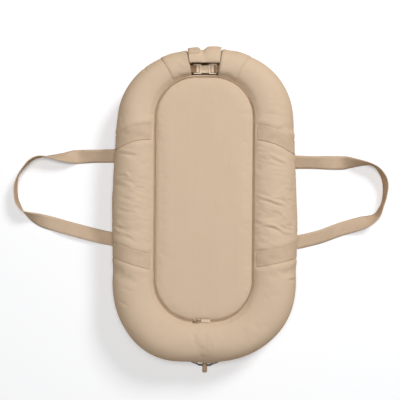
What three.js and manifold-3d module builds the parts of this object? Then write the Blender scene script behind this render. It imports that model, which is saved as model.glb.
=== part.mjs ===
// Portable infant nest: a padded ring of cloth round a zip-in base, lying on its rim with the base upward.
// Millimetres. +X to one side, +Y to the head end, +Z up from the floor.
// Inside the file, places are measured from the middle of the base panel, at floor height.

import * as THREE from 'three';
import { mergeVertices } from 'three/addons/utils/BufferGeometryUtils.js';
import Module from 'manifold-3d';

const wasm = await Module();
wasm.setup();

// Driving dimensions: the zipper line that closes the base, and the ring round it.
const SEAM_WIDTH = 259;
const SEAM_LENGTH = 645;
const SEAM_CORNER_RADIUS = 108;
const RING_REACH = 120; // plan distance from the zipper line to the ring's outer edge, at its fullest
const RING_HEIGHT = 121;
const RING_OVERHANG = 10; // how far the ring's inner side leans in below the zipper line
const FLOOR_CUT = 1; // depth of the curve that is flattened where the ring stands
const COVER_THICKNESS = 3;
const GAP = 0.3; // clearance between neighbouring pieces
const SLACK = 0.5; // clearance of webbing over the ring's cloth

// Base, mattress and sleeping sheet.
const BASE_HEIGHT = 106.5;
const PANEL_THICKNESS = 2;
const PANEL_DROP = 3.5; // how far the panel's edge falls below its flat middle
const PANEL_CROWN = 34; // width of the rounded border round the flat middle
const MATTRESS_THICKNESS = 26;
const MATTRESS_BORDER = 10; // from the zipper line to the mattress's side
const SHEET_THICKNESS = 2;

// Zipper.
const COIL_WIDTH = 5;
const COIL_HEIGHT = 2.2;
const COIL_TOP = 101.6;
const TAPE_THICKNESS = 1;
const TAPE_FLAT = 2.4; // flat strip beside the coil, for the slider's flanges
const TAPE_REACH = 7; // from the zipper line to the cloth on each side
const GARAGE_LENGTH = 24;
const GARAGE_WIDTH = 9;
const GARAGE_OFFSET = 6; // from the middle of the foot end

// Webbing and handles.
const WEBBING_WIDTH = 38;
const WEBBING_THICKNESS = 1.8;
const HANDLE_REACH_LEFT = 521;
const HANDLE_REACH_RIGHT = 501;
const ANCHOR_UPPER_LEFT = 145; // Y where each strap crosses the ring's outer edge
const ANCHOR_LOWER_LEFT = -140;
const ANCHOR_UPPER_RIGHT = 142;
const ANCHOR_LOWER_RIGHT = -134;
const ANCHOR_SLOPES = { upperLeft: 0.24, lowerLeft: -0.27, upperRight: 0.32, lowerRight: -0.2 };

// Head end, where the tube's two ends meet.
const HEAD_END_LEFT = 43; // along the zipper line, from the middle of the head end to the tube's end
const HEAD_END_RIGHT = 34;
const HEAD_BAND_EDGE = 80;
const BAND_THICKNESS = 1.5;
const END_CAP_THICKNESS = 2;
const BAND_MARGIN = 5; // from the zipper tape to the wide bands
const PATCH_THICKNESS = 1;
const STRAP_WIDTH = 20;
const STRAP_THICKNESS = 1.3;
const STRAP_HEIGHT = 98; // underside of the ladder locks
const LOCK_LENGTH = 20;
const LOCK_WIDTH = 26;
const LOCK_THICKNESS = 3;
const LOCK_BAR = 3;
const LOCK_RAIL = 2.6;
const LOCK_SPACING = 40; // between the two ladder locks' middles
const WINDOW_DEPTH = 34; // from the zipper line to the bridging flap

// Drawcord and cord lock at the foot end.
const CORD_DIAMETER = 2.5;
const CORD_OFFSET = 5; // from the middle of the foot end
const EYELET_SPACING = 90;
const EYELET_DIAMETER = 11;
const EYELET_BORE = 5;
const EYELET_THICKNESS = 1.4;
const KNOT_DIAMETER = 5.4;
const LOCK_BODY_DIAMETER = 13;
const LOCK_BODY_LENGTH = 25;
const LOCK_BODY_WALL = 1.7;
const LOCK_STANDOFF = 16; // from the ring's outer edge to the cord lock's mouth
const BUTTON_DIAMETER = 9;
const BUTTON_PROUD = 4.5;
const BUTTON_TRAVEL = 2.5;
const BUTTON_SOLE = 2; // solid end of the plunger, below its slot
const SLOT_LENGTH = 6.4; // of the cord lock's cross hole, along its axis
const SLOT_HEIGHT = 5.6;
const SPRING_WIRE = 0.6;
const SPRING_TURNS = 5;
const CORD_SPACING = 3; // between the two strands inside the cord lock
// One strand's route from the eyelet to its tail, measured from the middle of the cord lock's slot.
const CORD_ROUTE = [
  [-36, 12, 24], [-24, 6, 11], [-14, 2.2, 4], [-9, 1.5, 1.6], [0, 1.5, 0], [9, 1.5, -1.5],
  [14, 2.2, -2.8], [20, 4.6, -3.5], [24, 7, -3.6],
];

// Zipper slider.
const SLIDER_LENGTH = 13;
const SLIDER_WIDTH = 8.4;
const SLIDER_PLATE = 1.6;
const BAIL_RADIUS = 2.7;
const BAIL_BORE = 1.5;
const BAIL_WIDTH = 2.4;
const PULL_LENGTH = 16;
const PULL_WIDTH = 8;
const PULL_THICKNESS = 1.2;
const PULL_RIM = 1.8;

// The ring's plan: [share of the way from head to foot along the zipper line, share of RING_REACH].
const REACH_SHARES_RIGHT = [
  [0, 0.7], [0.1, 0.74], [0.166, 0.83], [0.235, 0.9], [0.5, 0.98],
  [0.588, 1.02], [0.765, 1], [0.834, 1.06], [0.904, 1], [1, 0.985],
];
const REACH_SHARES_LEFT = [
  [0, 0.69], [0.1, 0.71], [0.166, 0.82], [0.235, 0.92], [0.5, 0.975],
  [0.588, 0.97], [0.765, 0.92], [0.834, 1], [0.904, 1.08], [0.939, 1.025], [0.974, 0.99], [1, 0.985],
];
// The ring is drawn in where its ends are cinched together.
const HEIGHT_SHARES = [[0, 0.92], [0.1, 0.95], [0.235, 1], [1, 1]];

// Each handle's route from its upper anchor to its lower one: [share of the way out, share of half the
// span between anchors, share of the anchors' height, roll in degrees].
const HANDLE_ROUTE_LEFT_SHARES = [
  [0.01, 0.95, 0.75, 0], [0.03, 0.89, 0.35, 0], [0.075, 0.83, 0.05, 0], [0.15, 0.785, 0, 0],
  [0.27, 0.766, 0, 0], [0.413, 0.752, 0, 12], [0.535, 0.74, 0, 50], [0.737, 0.744, 0, 90],
  [0.838, 0.682, 0, 90], [0.913, 0.543, 0, 84], [0.975, 0.366, 0, 80], [1, 0.152, 0, 88],
  [0.992, -0.08, 0, 90], [0.965, -0.215, 0, 90], [0.908, -0.358, 0, 75], [0.758, -0.496, 0, 25],
  [0.584, -0.592, 0, 4], [0.254, -0.745, 0, 0], [0.094, -0.813, 0.04, 0], [0.035, -0.87, 0.35, 0],
  [0.013, -0.94, 0.75, 0],
];
const HANDLE_ROUTE_RIGHT_SHARES = [
  [0.01, 0.95, 0.75, 0], [0.034, 0.87, 0.38, 0], [0.073, 0.79, 0.06, 0], [0.16, 0.754, 0, 0],
  [0.285, 0.746, 0, 0], [0.506, 0.749, 0, 15], [0.655, 0.75, 0, 50], [0.859, 0.72, 0, 90],
  [0.955, 0.567, 0, 86], [1, 0.352, 0, 82], [0.993, 0.092, 0, 88], [0.962, -0.109, 0, 90],
  [0.893, -0.323, 0, 70], [0.729, -0.463, 0, 25], [0.5, -0.604, 0, 4], [0.302, -0.743, 0, 0],
  [0.12, -0.848, 0.03, 0], [0.05, -0.9, 0.3, 0], [0.018, -0.945, 0.7, 0],
];

// The ring's section, in degrees round its middle: 90 is its crown, 0 its outer side, -90 the floor.
const SECTION_ANGLES = [
  119, 101.25, 78.75, 56.25, 33.75, 11.25, -11.25, -33.75, -56.25, -78.75, -101.25, -131, -161, -191.25,
];
const SECTION_POWER = 2.4;
const FILLING_POWER = 2.2;
const FILLING_STEP = 26;
const FULL_TURN = 360;
const ANCHOR_START_ANGLE = 131;
const BAND_SECTIONS = 9; // of the section's angles, that the wide bands reach round
const PATCH_ANGLES = [60, 56.25, 33.75, 30];
const EYELET_ANGLES = [-11.25, -33.75];
const EYELET_SEAT_SHARE = 0.5;
const EYELET_LEAN_SHARE = 0.1;
const PATCH_SHARES = [0.1, 0.85];
const SHOULDER_DROP_SHARE = 0.35;
const SHOULDER_INSET_SHARE = 0.35;
const MATTRESS_EDGE_SHARE = 0.12;
const COIL_ROUND_SHARE = 0.7;
const STRAP_SLANT_SHARE = 0.62;
const BUTTON_ROUND_SHARE = 0.3;

// How finely curves are drawn.
const BAND_STEPS = 2; // stations under each wide band
const HEAD_CORNER_STEPS = 5;
const SIDE_STEPS = 6;
const FOOT_CORNER_STEPS = 6;
const HANDLE_STEPS = 2;
const SPRING_STEPS = 8;
const SPRING_SIDES = 5;
const CORD_STEPS = 30;
const CORD_SIDES = 8;
const TURNED_SIDES = 24;
const ARC_STEPS = 8;
const KNOT_STEPS = [10, 8];

const CLOTH = { color: 0xd4bb9d, roughness: 0.9, metalness: 0 };
const WEBBING = { color: 0xc6ab8e, roughness: 0.85, metalness: 0 };
const PLASTIC = { color: 0xcdb496, roughness: 0.45, metalness: 0 };
const PAINTED = { color: 0xbfa588, roughness: 0.4, metalness: 0.3 };
const SPRING_STEEL = { color: 0xb9bcc0, roughness: 0.3, metalness: 1 };
const FIBRE = { color: 0xf3f0ea, roughness: 0.95, metalness: 0 };
const CORD = { color: 0xb99d7e, roughness: 0.8, metalness: 0 };

const headFlat = SEAM_WIDTH / 2 - SEAM_CORNER_RADIUS;
const sideFlat = SEAM_LENGTH - 2 * SEAM_CORNER_RADIUS;
const cornerRun = SEAM_CORNER_RADIUS * Math.PI / 2;
const halfLap = 2 * headFlat + 2 * cornerRun + sideFlat;
const ringMiddle = RING_HEIGHT / 2;

const nest = new THREE.Group();

function add(name, geometry, finish, parent = nest) {
  const mesh = new THREE.Mesh(geometry, new THREE.MeshStandardMaterial(finish));
  mesh.name = name;
  parent.add(mesh);
  return mesh;
}

function interpolate(table, at) {
  const next = Math.max(1, table.findIndex(([place]) => place >= at));
  const [fromPlace, fromValue] = table[next - 1];
  const [toPlace, toValue] = table[next];
  return THREE.MathUtils.mapLinear(at, fromPlace, toPlace, fromValue, toValue);
}

function signedPower(value, power) {
  return Math.sign(value) * Math.abs(value) ** power;
}

// Triangles that fill one flat loop, wound the way the loop runs.
function fillLoop(loop) {
  const normal = new THREE.Vector3();
  loop.forEach((point, i) => {
    normal.add(new THREE.Vector3().crossVectors(point, loop[(i + 1) % loop.length]));
  });
  const across = new THREE.Vector3().subVectors(loop[1], loop[0]).normalize();
  const up = new THREE.Vector3().crossVectors(normal.normalize(), across);
  const flat = loop.map((point) => new THREE.Vector2(point.dot(across), point.dot(up)));
  const faces = THREE.ShapeUtils.triangulateShape(flat, []);
  const turned = faces.some(([a, b, c]) => THREE.ShapeUtils.area([flat[a], flat[b], flat[c]]) < 0);
  return faces.map(([a, b, c]) => (turned ? [a, c, b] : [a, b, c]));
}

// A closed solid through equal loops of points. Its ends are filled, fanned from their middles, or joined.
function loft(loops, ends = 'filled') {
  const count = loops[0].length;
  const points = loops.flat();
  const index = [];
  const joined = ends === 'joined';
  loops.slice(0, joined ? loops.length : -1).forEach((_, i) => {
    const here = i * count;
    const there = ((i + 1) % loops.length) * count;
    for (let k = 0; k < count; k += 1) {
      const m = (k + 1) % count;
      index.push(here + k, there + k, there + m, here + k, there + m, here + m);
    }
  });
  if (ends === 'filled') {
    const last = (loops.length - 1) * count;
    fillLoop(loops[0]).forEach(([a, b, c]) => index.push(a, b, c));
    fillLoop(loops.at(-1)).forEach(([a, b, c]) => index.push(last + a, last + c, last + b));
  }
  if (ends === 'fanned') {
    const last = (loops.length - 1) * count;
    const middle = points.length;
    points.push(middleOf(loops[0]), middleOf(loops.at(-1)));
    for (let k = 0; k < count; k += 1) {
      const m = (k + 1) % count;
      index.push(middle, k, m, middle + 1, last + m, last + k);
    }
  }
  return outward(points, index);
}

function middleOf(loop) {
  const sum = loop.reduce((total, point) => total.add(point), new THREE.Vector3());
  return sum.divideScalar(loop.length);
}

function outward(points, index) {
  let volume = 0;
  for (let i = 0; i < index.length; i += 3) {
    const [a, b, c] = [points[index[i]], points[index[i + 1]], points[index[i + 2]]];
    volume += a.dot(new THREE.Vector3().crossVectors(b, c));
  }
  if (volume < 0) index.reverse();
  const geometry = new THREE.BufferGeometry().setFromPoints(points);
  geometry.setIndex(index);
  geometry.computeVertexNormals();
  return geometry;
}

function toSolid(geometry, matrix = new THREE.Matrix4()) {
  const bare = geometry.clone().applyMatrix4(matrix);
  bare.deleteAttribute('normal');
  bare.deleteAttribute('uv');
  const merged = mergeVertices(bare);
  return new wasm.Manifold(new wasm.Mesh({
    numProp: 3,
    vertProperties: merged.attributes.position.array,
    triVerts: new Uint32Array(merged.index.array),
  }));
}

function toGeometry(solid) {
  const mesh = solid.getMesh();
  const geometry = new THREE.BufferGeometry();
  geometry.setAttribute('position', new THREE.BufferAttribute(mesh.vertProperties, 3));
  geometry.setIndex(new THREE.BufferAttribute(mesh.triVerts, 1));
  geometry.computeVertexNormals();
  return geometry;
}

// One place on the zipper line, so far from the middle of the head end, with the way that faces outward.
function seamFrame(side, lap) {
  const headEnd = headFlat + cornerRun;
  const sideEnd = headEnd + sideFlat;
  const cornerX = SEAM_WIDTH / 2 - SEAM_CORNER_RADIUS;
  const cornerY = SEAM_LENGTH / 2 - SEAM_CORNER_RADIUS;
  const share = lap / halfLap;
  let turn = Math.PI;
  if (lap < headFlat) turn = 0;
  else if (lap < headEnd) turn = (lap - headFlat) / SEAM_CORNER_RADIUS;
  else if (lap < sideEnd) turn = Math.PI / 2;
  else if (lap < sideEnd + cornerRun) turn = Math.PI / 2 + (lap - sideEnd) / SEAM_CORNER_RADIUS;
  const out = new THREE.Vector3(side * Math.sin(turn), Math.cos(turn), 0);
  const at = new THREE.Vector3(side * cornerX, cornerY, 0).addScaledVector(out, SEAM_CORNER_RADIUS);
  if (lap < headFlat) at.x = side * lap;
  if (lap > headEnd) at.y = Math.max(cornerY - (lap - headEnd), -cornerY) + SEAM_CORNER_RADIUS * Math.cos(turn);
  if (lap > sideEnd + cornerRun) at.x = side * (halfLap - lap);
  return { side, share, at, out };
}

// Half width, half height and middle of the ring's section at one frame.
function ringSection({ side, share }) {
  const reach = RING_REACH * interpolate(side > 0 ? REACH_SHARES_RIGHT : REACH_SHARES_LEFT, share);
  const halfWidth = (reach + RING_OVERHANG) / 2;
  const halfHeight = (ringMiddle + FLOOR_CUT) * interpolate(HEIGHT_SHARES, share);
  return { reach, halfWidth, halfHeight, middle: reach - halfWidth };
}

// A point of the ring's surface, or so far inside it.
function ringPoint(frame, angle, inset = 0, power = SECTION_POWER) {
  const { halfWidth, halfHeight, middle } = ringSection(frame);
  const turn = THREE.MathUtils.degToRad(angle);
  const across = middle + (halfWidth - inset) * signedPower(Math.cos(turn), 2 / power);
  const height = ringMiddle + (halfHeight - inset) * signedPower(Math.sin(turn), 2 / power);
  const point = frame.at.clone().addScaledVector(frame.out, across);
  point.z = Math.max(inset, height);
  return point;
}

// The angle at which the ring's upper side lies so far from the zipper line.
function angleAcross(frame, across) {
  const { halfWidth, middle } = ringSection(frame);
  return THREE.MathUtils.radToDeg(Math.acos(signedPower((across - middle) / halfWidth, SECTION_POWER / 2)));
}

function tapeAngle(frame) {
  return angleAcross(frame, TAPE_REACH);
}

function spread(from, to, steps) {
  return Array.from({ length: steps + 1 }, (_, i) => THREE.MathUtils.lerp(from, to, i / steps));
}

// The frames of one half of the ring, from the tube's end at the head to the middle of the foot.
function halfRing(side, start) {
  const headEnd = headFlat + cornerRun;
  const sideEnd = headEnd + sideFlat;
  const laps = [
    ...spread(start, HEAD_BAND_EDGE, BAND_STEPS),
    ...spread(HEAD_BAND_EDGE, headEnd, HEAD_CORNER_STEPS).slice(1),
    ...spread(headEnd, sideEnd, SIDE_STEPS).slice(1),
    ...spread(sideEnd, sideEnd + cornerRun, FOOT_CORNER_STEPS).slice(1),
    halfLap,
  ];
  return laps.map((lap) => ({ ...seamFrame(side, lap), lap }));
}

const leftFrames = halfRing(-1, HEAD_END_LEFT);
const rightFrames = halfRing(1, HEAD_END_RIGHT);
const ringFrames = [...leftFrames, ...rightFrames.slice(0, -1).reverse()];
const seamFrames = [...ringFrames, seamFrame(1, headFlat), seamFrame(1, 0), seamFrame(-1, headFlat)];

// A point on the ring's flat facets, with so much clearance, at any place along one side.
function onRing(side, lap, angle, lift = 0) {
  const frames = side > 0 ? rightFrames : leftFrames;
  const next = Math.max(1, frames.findIndex((frame) => frame.lap >= lap));
  const [before, after] = [frames[next - 1], frames[next]];
  const share = (lap - before.lap) / (after.lap - before.lap);
  return ringPoint(before, angle, -lift).lerp(ringPoint(after, angle, -lift), share);
}

function lapAtSide(y) {
  return headFlat + cornerRun + (SEAM_LENGTH / 2 - SEAM_CORNER_RADIUS) - y;
}

// Ring: a cover open along the zipper, with one tube of filling in it and a gathered disc at each end.
function makeRing() {
  const coverLoops = ringFrames.map((frame) => {
    const angles = [tapeAngle(frame), ...SECTION_ANGLES];
    const outer = angles.map((angle) => ringPoint(frame, angle));
    const inner = angles.map((angle) => ringPoint(frame, angle, COVER_THICKNESS));
    return [...outer, ...inner.reverse()];
  });
  add('ring_cover', loft(coverLoops), CLOTH);

  // The tube's ends lie on the same flat facets as the cover round them.
  const nearEnd = ([first, second], depth) => {
    const share = depth / (second.lap - first.lap);
    return fillingLoop(first).map((point, i) => point.lerp(fillingLoop(second)[i], share));
  };
  const capDepth = END_CAP_THICKNESS + GAP;
  const inside = ringFrames.slice(1, -1);
  add('ring_filling', loft([
    nearEnd(leftFrames, capDepth), ...inside.map(fillingLoop), nearEnd(rightFrames, capDepth),
  ]), FIBRE);
  add('tube_end_cap_left', loft([fillingLoop(leftFrames[0]), nearEnd(leftFrames, END_CAP_THICKNESS)]), CLOTH);
  add('tube_end_cap_right', loft([fillingLoop(rightFrames[0]), nearEnd(rightFrames, END_CAP_THICKNESS)]), CLOTH);
}

function fillingLoop(frame) {
  const lower = SECTION_ANGLES.at(-1) + FULL_TURN - FILLING_STEP;
  const angles = [lower, ...SECTION_ANGLES];
  return angles.map((angle) => ringPoint(frame, angle, COVER_THICKNESS + GAP, FILLING_POWER));
}

// One closed loop beside the zipper line, so far inside it and so high.
function seamLoop(inset, height) {
  return seamFrames.map(({ at, out }) => at.clone().addScaledVector(out, -inset).setZ(height));
}

// Base panel, mattress and the sleeping sheet below it.
function makeBase() {
  const edge = BASE_HEIGHT - PANEL_DROP;
  const shoulder = BASE_HEIGHT - PANEL_DROP * SHOULDER_DROP_SHARE;
  const shoulderInset = THREE.MathUtils.lerp(TAPE_REACH, PANEL_CROWN, SHOULDER_INSET_SHARE);
  const under = PANEL_THICKNESS;
  add('base_panel', loft([
    seamLoop(PANEL_CROWN, BASE_HEIGHT - under),
    seamLoop(shoulderInset, shoulder - under),
    seamLoop(TAPE_REACH, edge - under),
    seamLoop(TAPE_REACH, edge),
    seamLoop(shoulderInset, shoulder),
    seamLoop(PANEL_CROWN, BASE_HEIGHT),
  ], 'fanned'), CLOTH);

  const mattressTop = BASE_HEIGHT - under - GAP;
  const mattressBottom = mattressTop - MATTRESS_THICKNESS;
  const softEdge = MATTRESS_THICKNESS * MATTRESS_EDGE_SHARE;
  const sideInset = MATTRESS_BORDER + softEdge;
  add('mattress_core', loft([
    seamLoop(sideInset, mattressBottom),
    seamLoop(MATTRESS_BORDER, mattressBottom + softEdge),
    seamLoop(MATTRESS_BORDER, edge - under - softEdge),
    seamLoop(shoulderInset, shoulder - under - GAP),
    seamLoop(PANEL_CROWN, mattressTop),
  ], 'fanned'), FIBRE);

  const sheetTop = mattressBottom - GAP;
  add('sleeping_sheet', loft([
    seamLoop(MATTRESS_BORDER, sheetTop - SHEET_THICKNESS),
    seamLoop(MATTRESS_BORDER, sheetTop),
  ], 'fanned'), CLOTH);
}

// One side of the zipper tape: flat beside the coil, then rising to the cloth it is sewn to.
function tapeSection({ at, out }, sign, clothHeight) {
  const half = TAPE_THICKNESS / 2;
  const flat = COIL_TOP - COIL_HEIGHT / 2;
  const near = COIL_WIDTH / 2 + GAP;
  const bend = near + TAPE_FLAT;
  const far = TAPE_REACH - GAP;
  const places = [
    [near, flat + half], [bend, flat + half], [far, clothHeight + half],
    [far, clothHeight - half], [bend + half, flat - half], [near, flat - half],
  ];
  return places.map(([across, height]) => at.clone().addScaledVector(out, sign * across).setZ(height));
}

function makeZipper() {
  const coil = seamFrames.map(({ at, out }) => {
    const low = COIL_TOP - COIL_HEIGHT;
    const half = COIL_WIDTH / 2;
    const places = [[-half, low], [half, low], [half * COIL_ROUND_SHARE, COIL_TOP], [-half * COIL_ROUND_SHARE, COIL_TOP]];
    return places.map(([across, height]) => at.clone().addScaledVector(out, across).setZ(height));
  });
  add('zipper_coil', loft(coil, 'joined'), PAINTED);

  const panelEdge = BASE_HEIGHT - PANEL_DROP - PANEL_THICKNESS / 2;
  const ringEdge = (frame) => ringPoint(frame, tapeAngle(frame)).z - COVER_THICKNESS / 2;
  add('zipper_inner_tape', loft(seamFrames.map((frame) => tapeSection(frame, -1, panelEdge)), 'joined'), WEBBING);
  add('zipper_outer_tape', loft(seamFrames.map((frame) => tapeSection(frame, 1, ringEdge(frame))), 'joined'), WEBBING);

  const garage = new THREE.BoxGeometry(GARAGE_LENGTH, GARAGE_WIDTH, TAPE_THICKNESS);
  add('zipper_garage', garage, CLOTH)
    .position.set(GARAGE_OFFSET, -SEAM_LENGTH / 2, COIL_TOP + GAP + TAPE_THICKNESS / 2);
}

// Slider, parked where the straight foot end runs into its left corner, and the pull lying on it.
function makeSlider() {
  const slider = new THREE.Group();
  slider.position.set(-headFlat, -SEAM_LENGTH / 2, COIL_TOP + GAP);
  nest.add(slider);

  const plate = new THREE.BoxGeometry(SLIDER_LENGTH, SLIDER_WIDTH, SLIDER_PLATE);
  plate.translate(0, 0, SLIDER_PLATE / 2);
  const arch = new THREE.Shape();
  const foot = SLIDER_PLATE / 2;
  const eye = pullHeight() - SLIDER_PLATE;
  arch.moveTo(-BAIL_RADIUS, -foot);
  arch.lineTo(BAIL_RADIUS, -foot);
  arch.lineTo(BAIL_RADIUS, eye);
  arch.absarc(0, eye, BAIL_RADIUS, 0, Math.PI);
  const bore = new THREE.Path();
  bore.absarc(0, eye, BAIL_BORE, 0, 2 * Math.PI);
  arch.holes.push(bore);
  const bail = new THREE.ExtrudeGeometry(arch, { depth: BAIL_WIDTH, bevelEnabled: false, curveSegments: ARC_STEPS });
  const standUp = new THREE.Matrix4().makeRotationX(Math.PI / 2).setPosition(0, BAIL_WIDTH / 2, SLIDER_PLATE);
  add('zipper_slider', toGeometry(toSolid(plate).add(toSolid(bail, standUp))), PAINTED, slider);

  const pullShape = new THREE.Shape();
  const half = PULL_WIDTH / 2;
  const start = -PULL_THICKNESS / 2;
  pullShape.moveTo(start, -half);
  pullShape.lineTo(PULL_LENGTH - half, -half);
  pullShape.absarc(PULL_LENGTH - half, 0, half, -Math.PI / 2, Math.PI / 2);
  pullShape.lineTo(start, half);
  const hole = new THREE.Path();
  const inner = half - PULL_RIM;
  hole.moveTo(-start, -inner);
  hole.lineTo(PULL_LENGTH - half, -inner);
  hole.absarc(PULL_LENGTH - half, 0, inner, -Math.PI / 2, Math.PI / 2);
  hole.lineTo(-start, inner);
  pullShape.holes.push(hole);
  const pull = new THREE.ExtrudeGeometry(pullShape, { depth: PULL_THICKNESS, bevelEnabled: false, curveSegments: ARC_STEPS });
  add('zipper_pull', pull, PAINTED, slider).position.z = pullHeight() - PULL_THICKNESS / 2;
}

function pullHeight() {
  return SLIDER_PLATE + BAIL_BORE + GAP;
}

// Webbing sewn over the ring from the zipper to its outer edge, at a slant.
function makeAnchor(name, side, edgeY, slope) {
  const half = WEBBING_WIDTH / 2 * Math.hypot(1, slope);
  const angles = [ANCHOR_START_ANGLE, ...SECTION_ANGLES.filter((angle) => angle > 0), 0];
  const middle = onRing(side, lapAtSide(edgeY), 0);
  const loops = angles.map((angle) => {
    const here = onRing(side, lapAtSide(edgeY), angle);
    const y = edgeY + slope * Math.abs(middle.x - here.x);
    const corner = (offset, lift) => onRing(side, lapAtSide(y + offset), angle, lift);
    const top = SLACK + WEBBING_THICKNESS;
    return [corner(-half, SLACK), corner(half, SLACK), corner(half, top), corner(-half, top)];
  });
  add(`anchor_band_${name}`, loft(loops), WEBBING);
}

// A handle: one length of webbing that drops from the ring, lies flat, stands on its edge round the bend
// and comes back. Its route: shares of the way out, of half the span of its anchors, of the ring's
// half height, and the webbing's roll in degrees.
function makeHandle(name, side, reach, upper, lower, route) {
  const middle = (upper + lower) / 2;
  const span = (upper - lower) / 2;
  const lift = SLACK + WEBBING_THICKNESS / 2;
  const anchor = (y) => onRing(side, lapAtSide(y), 0, lift);
  const end = (y) => ({ x: anchor(y).x, y, lift: 1 - GAP / ringMiddle, roll: 0 });
  const rows = route.map(([out, along, up, roll]) => {
    const edge = anchor(along > 0 ? upper : lower).x;
    return { x: THREE.MathUtils.lerp(edge, side * reach, out), y: middle + along * span, lift: up, roll };
  });
  rows.unshift(end(upper));
  rows.push(end(lower));
  const plan = new THREE.CatmullRomCurve3(rows.map(({ x, y }) => new THREE.Vector3(x, y, 0)), false, 'centripetal');
  const places = spread(0, rows.length - 1, (rows.length - 1) * HANDLE_STEPS);
  const stations = places.map((place) => {
    const before = rows[Math.min(Math.floor(place), rows.length - 2)];
    const after = rows[rows.indexOf(before) + 1];
    const share = place - rows.indexOf(before);
    const up = THREE.MathUtils.lerp(before.lift, after.lift, share);
    const roll = THREE.MathUtils.degToRad(THREE.MathUtils.lerp(before.roll, after.roll, share));
    const rest = Math.sin(roll) * WEBBING_WIDTH / 2 + Math.cos(roll) * WEBBING_THICKNESS / 2;
    const point = plan.getPoint(place / (rows.length - 1));
    const outward = new THREE.Vector3(place < rows.length / 2 ? side : -side, 0, 0);
    const heading = up > 0 ? outward : plan.getTangent(place / (rows.length - 1)).setZ(0).normalize();
    const level = new THREE.Vector3(-heading.y, heading.x, 0);
    const across = level.multiplyScalar(Math.cos(roll));
    across.z = Math.sin(roll);
    point.z = rest + up * (ringMiddle - rest);
    return { point, across };
  });
  add(`handle_${name}`, ribbon(stations, WEBBING_WIDTH, WEBBING_THICKNESS), WEBBING);
}

// A flat strip through stations that each give a point and the way across the strip.
function ribbon(stations, width, thickness) {
  const loops = stations.map(({ point, across }, i) => {
    const before = stations[Math.max(0, i - 1)].point;
    const after = stations[Math.min(stations.length - 1, i + 1)].point;
    const along = new THREE.Vector3().subVectors(after, before);
    const up = new THREE.Vector3().crossVectors(along, across).normalize();
    const corner = (side, face) => point.clone()
      .addScaledVector(across, side * width / 2)
      .addScaledVector(up, face * thickness / 2);
    return [corner(-1, -1), corner(1, -1), corner(1, 1), corner(-1, 1)];
  });
  return loft(loops);
}

// A strip bent along corners in one upright plane: each corner keeps the strip's thickness.
function bentStrip(corners, width, thickness) {
  const normals = corners.slice(1).map(([x, z], i) => (
    new THREE.Vector2(corners[i][1] - z, x - corners[i][0]).normalize()));
  const loops = corners.map(([x, z], i) => {
    const before = normals[Math.max(0, i - 1)];
    const after = normals[Math.min(normals.length - 1, i)];
    const sum = before.clone().add(after);
    const mitre = sum.multiplyScalar(thickness / sum.lengthSq());
    const corner = (side, face) => new THREE.Vector3(x + face * mitre.x, side * width / 2, z + face * mitre.y);
    return [corner(-1, -1), corner(1, -1), corner(1, 1), corner(-1, 1)];
  });
  return loft(loops);
}

// Head end: wide bands over both tube ends, a flap that bridges them, and a strap with two ladder locks.
function makeHeadEnd() {
  const bandLoop = (frame) => {
    const angles = [angleAcross(frame, TAPE_REACH + BAND_MARGIN), ...SECTION_ANGLES.slice(1, BAND_SECTIONS)];
    const outer = angles.map((angle) => ringPoint(frame, angle, -SLACK - BAND_THICKNESS));
    const inner = angles.map((angle) => ringPoint(frame, angle, -SLACK));
    return [...outer, ...inner.reverse()];
  };
  add('head_band_left', loft(leftFrames.slice(0, BAND_STEPS + 1).map(bandLoop)), WEBBING);
  add('head_band_right', loft(rightFrames.slice(0, BAND_STEPS + 1).map(bandLoop)), WEBBING);

  const flapFrames = [
    seamFrame(-1, HEAD_END_LEFT - GAP), seamFrame(-1, headFlat), seamFrame(1, 0),
    seamFrame(1, headFlat), seamFrame(1, HEAD_END_RIGHT - GAP),
  ];
  const flapLoops = flapFrames.map((frame) => {
    const angles = [angleAcross(frame, WINDOW_DEPTH), ...SECTION_ANGLES.slice(2, -1)];
    const outer = angles.map((angle) => ringPoint(frame, angle));
    const inner = angles.map((angle) => ringPoint(frame, angle, COVER_THICKNESS));
    return [...outer, ...inner.reverse()];
  });
  add('head_flap', loft(flapLoops), CLOTH);

  const [flapEdge, flapMiddle] = flapFrames;
  const patchLoops = PATCH_ANGLES.map((angle) => {
    const corner = (share, lift) => ringPoint(flapEdge, angle, -lift).lerp(ringPoint(flapMiddle, angle, -lift), share);
    const [near, far] = PATCH_SHARES;
    const top = GAP + PATCH_THICKNESS;
    return [corner(near, GAP), corner(far, GAP), corner(far, top), corner(near, top)];
  });
  add('head_patch', loft(patchLoops), WEBBING);
  makeCinch();
}

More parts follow.
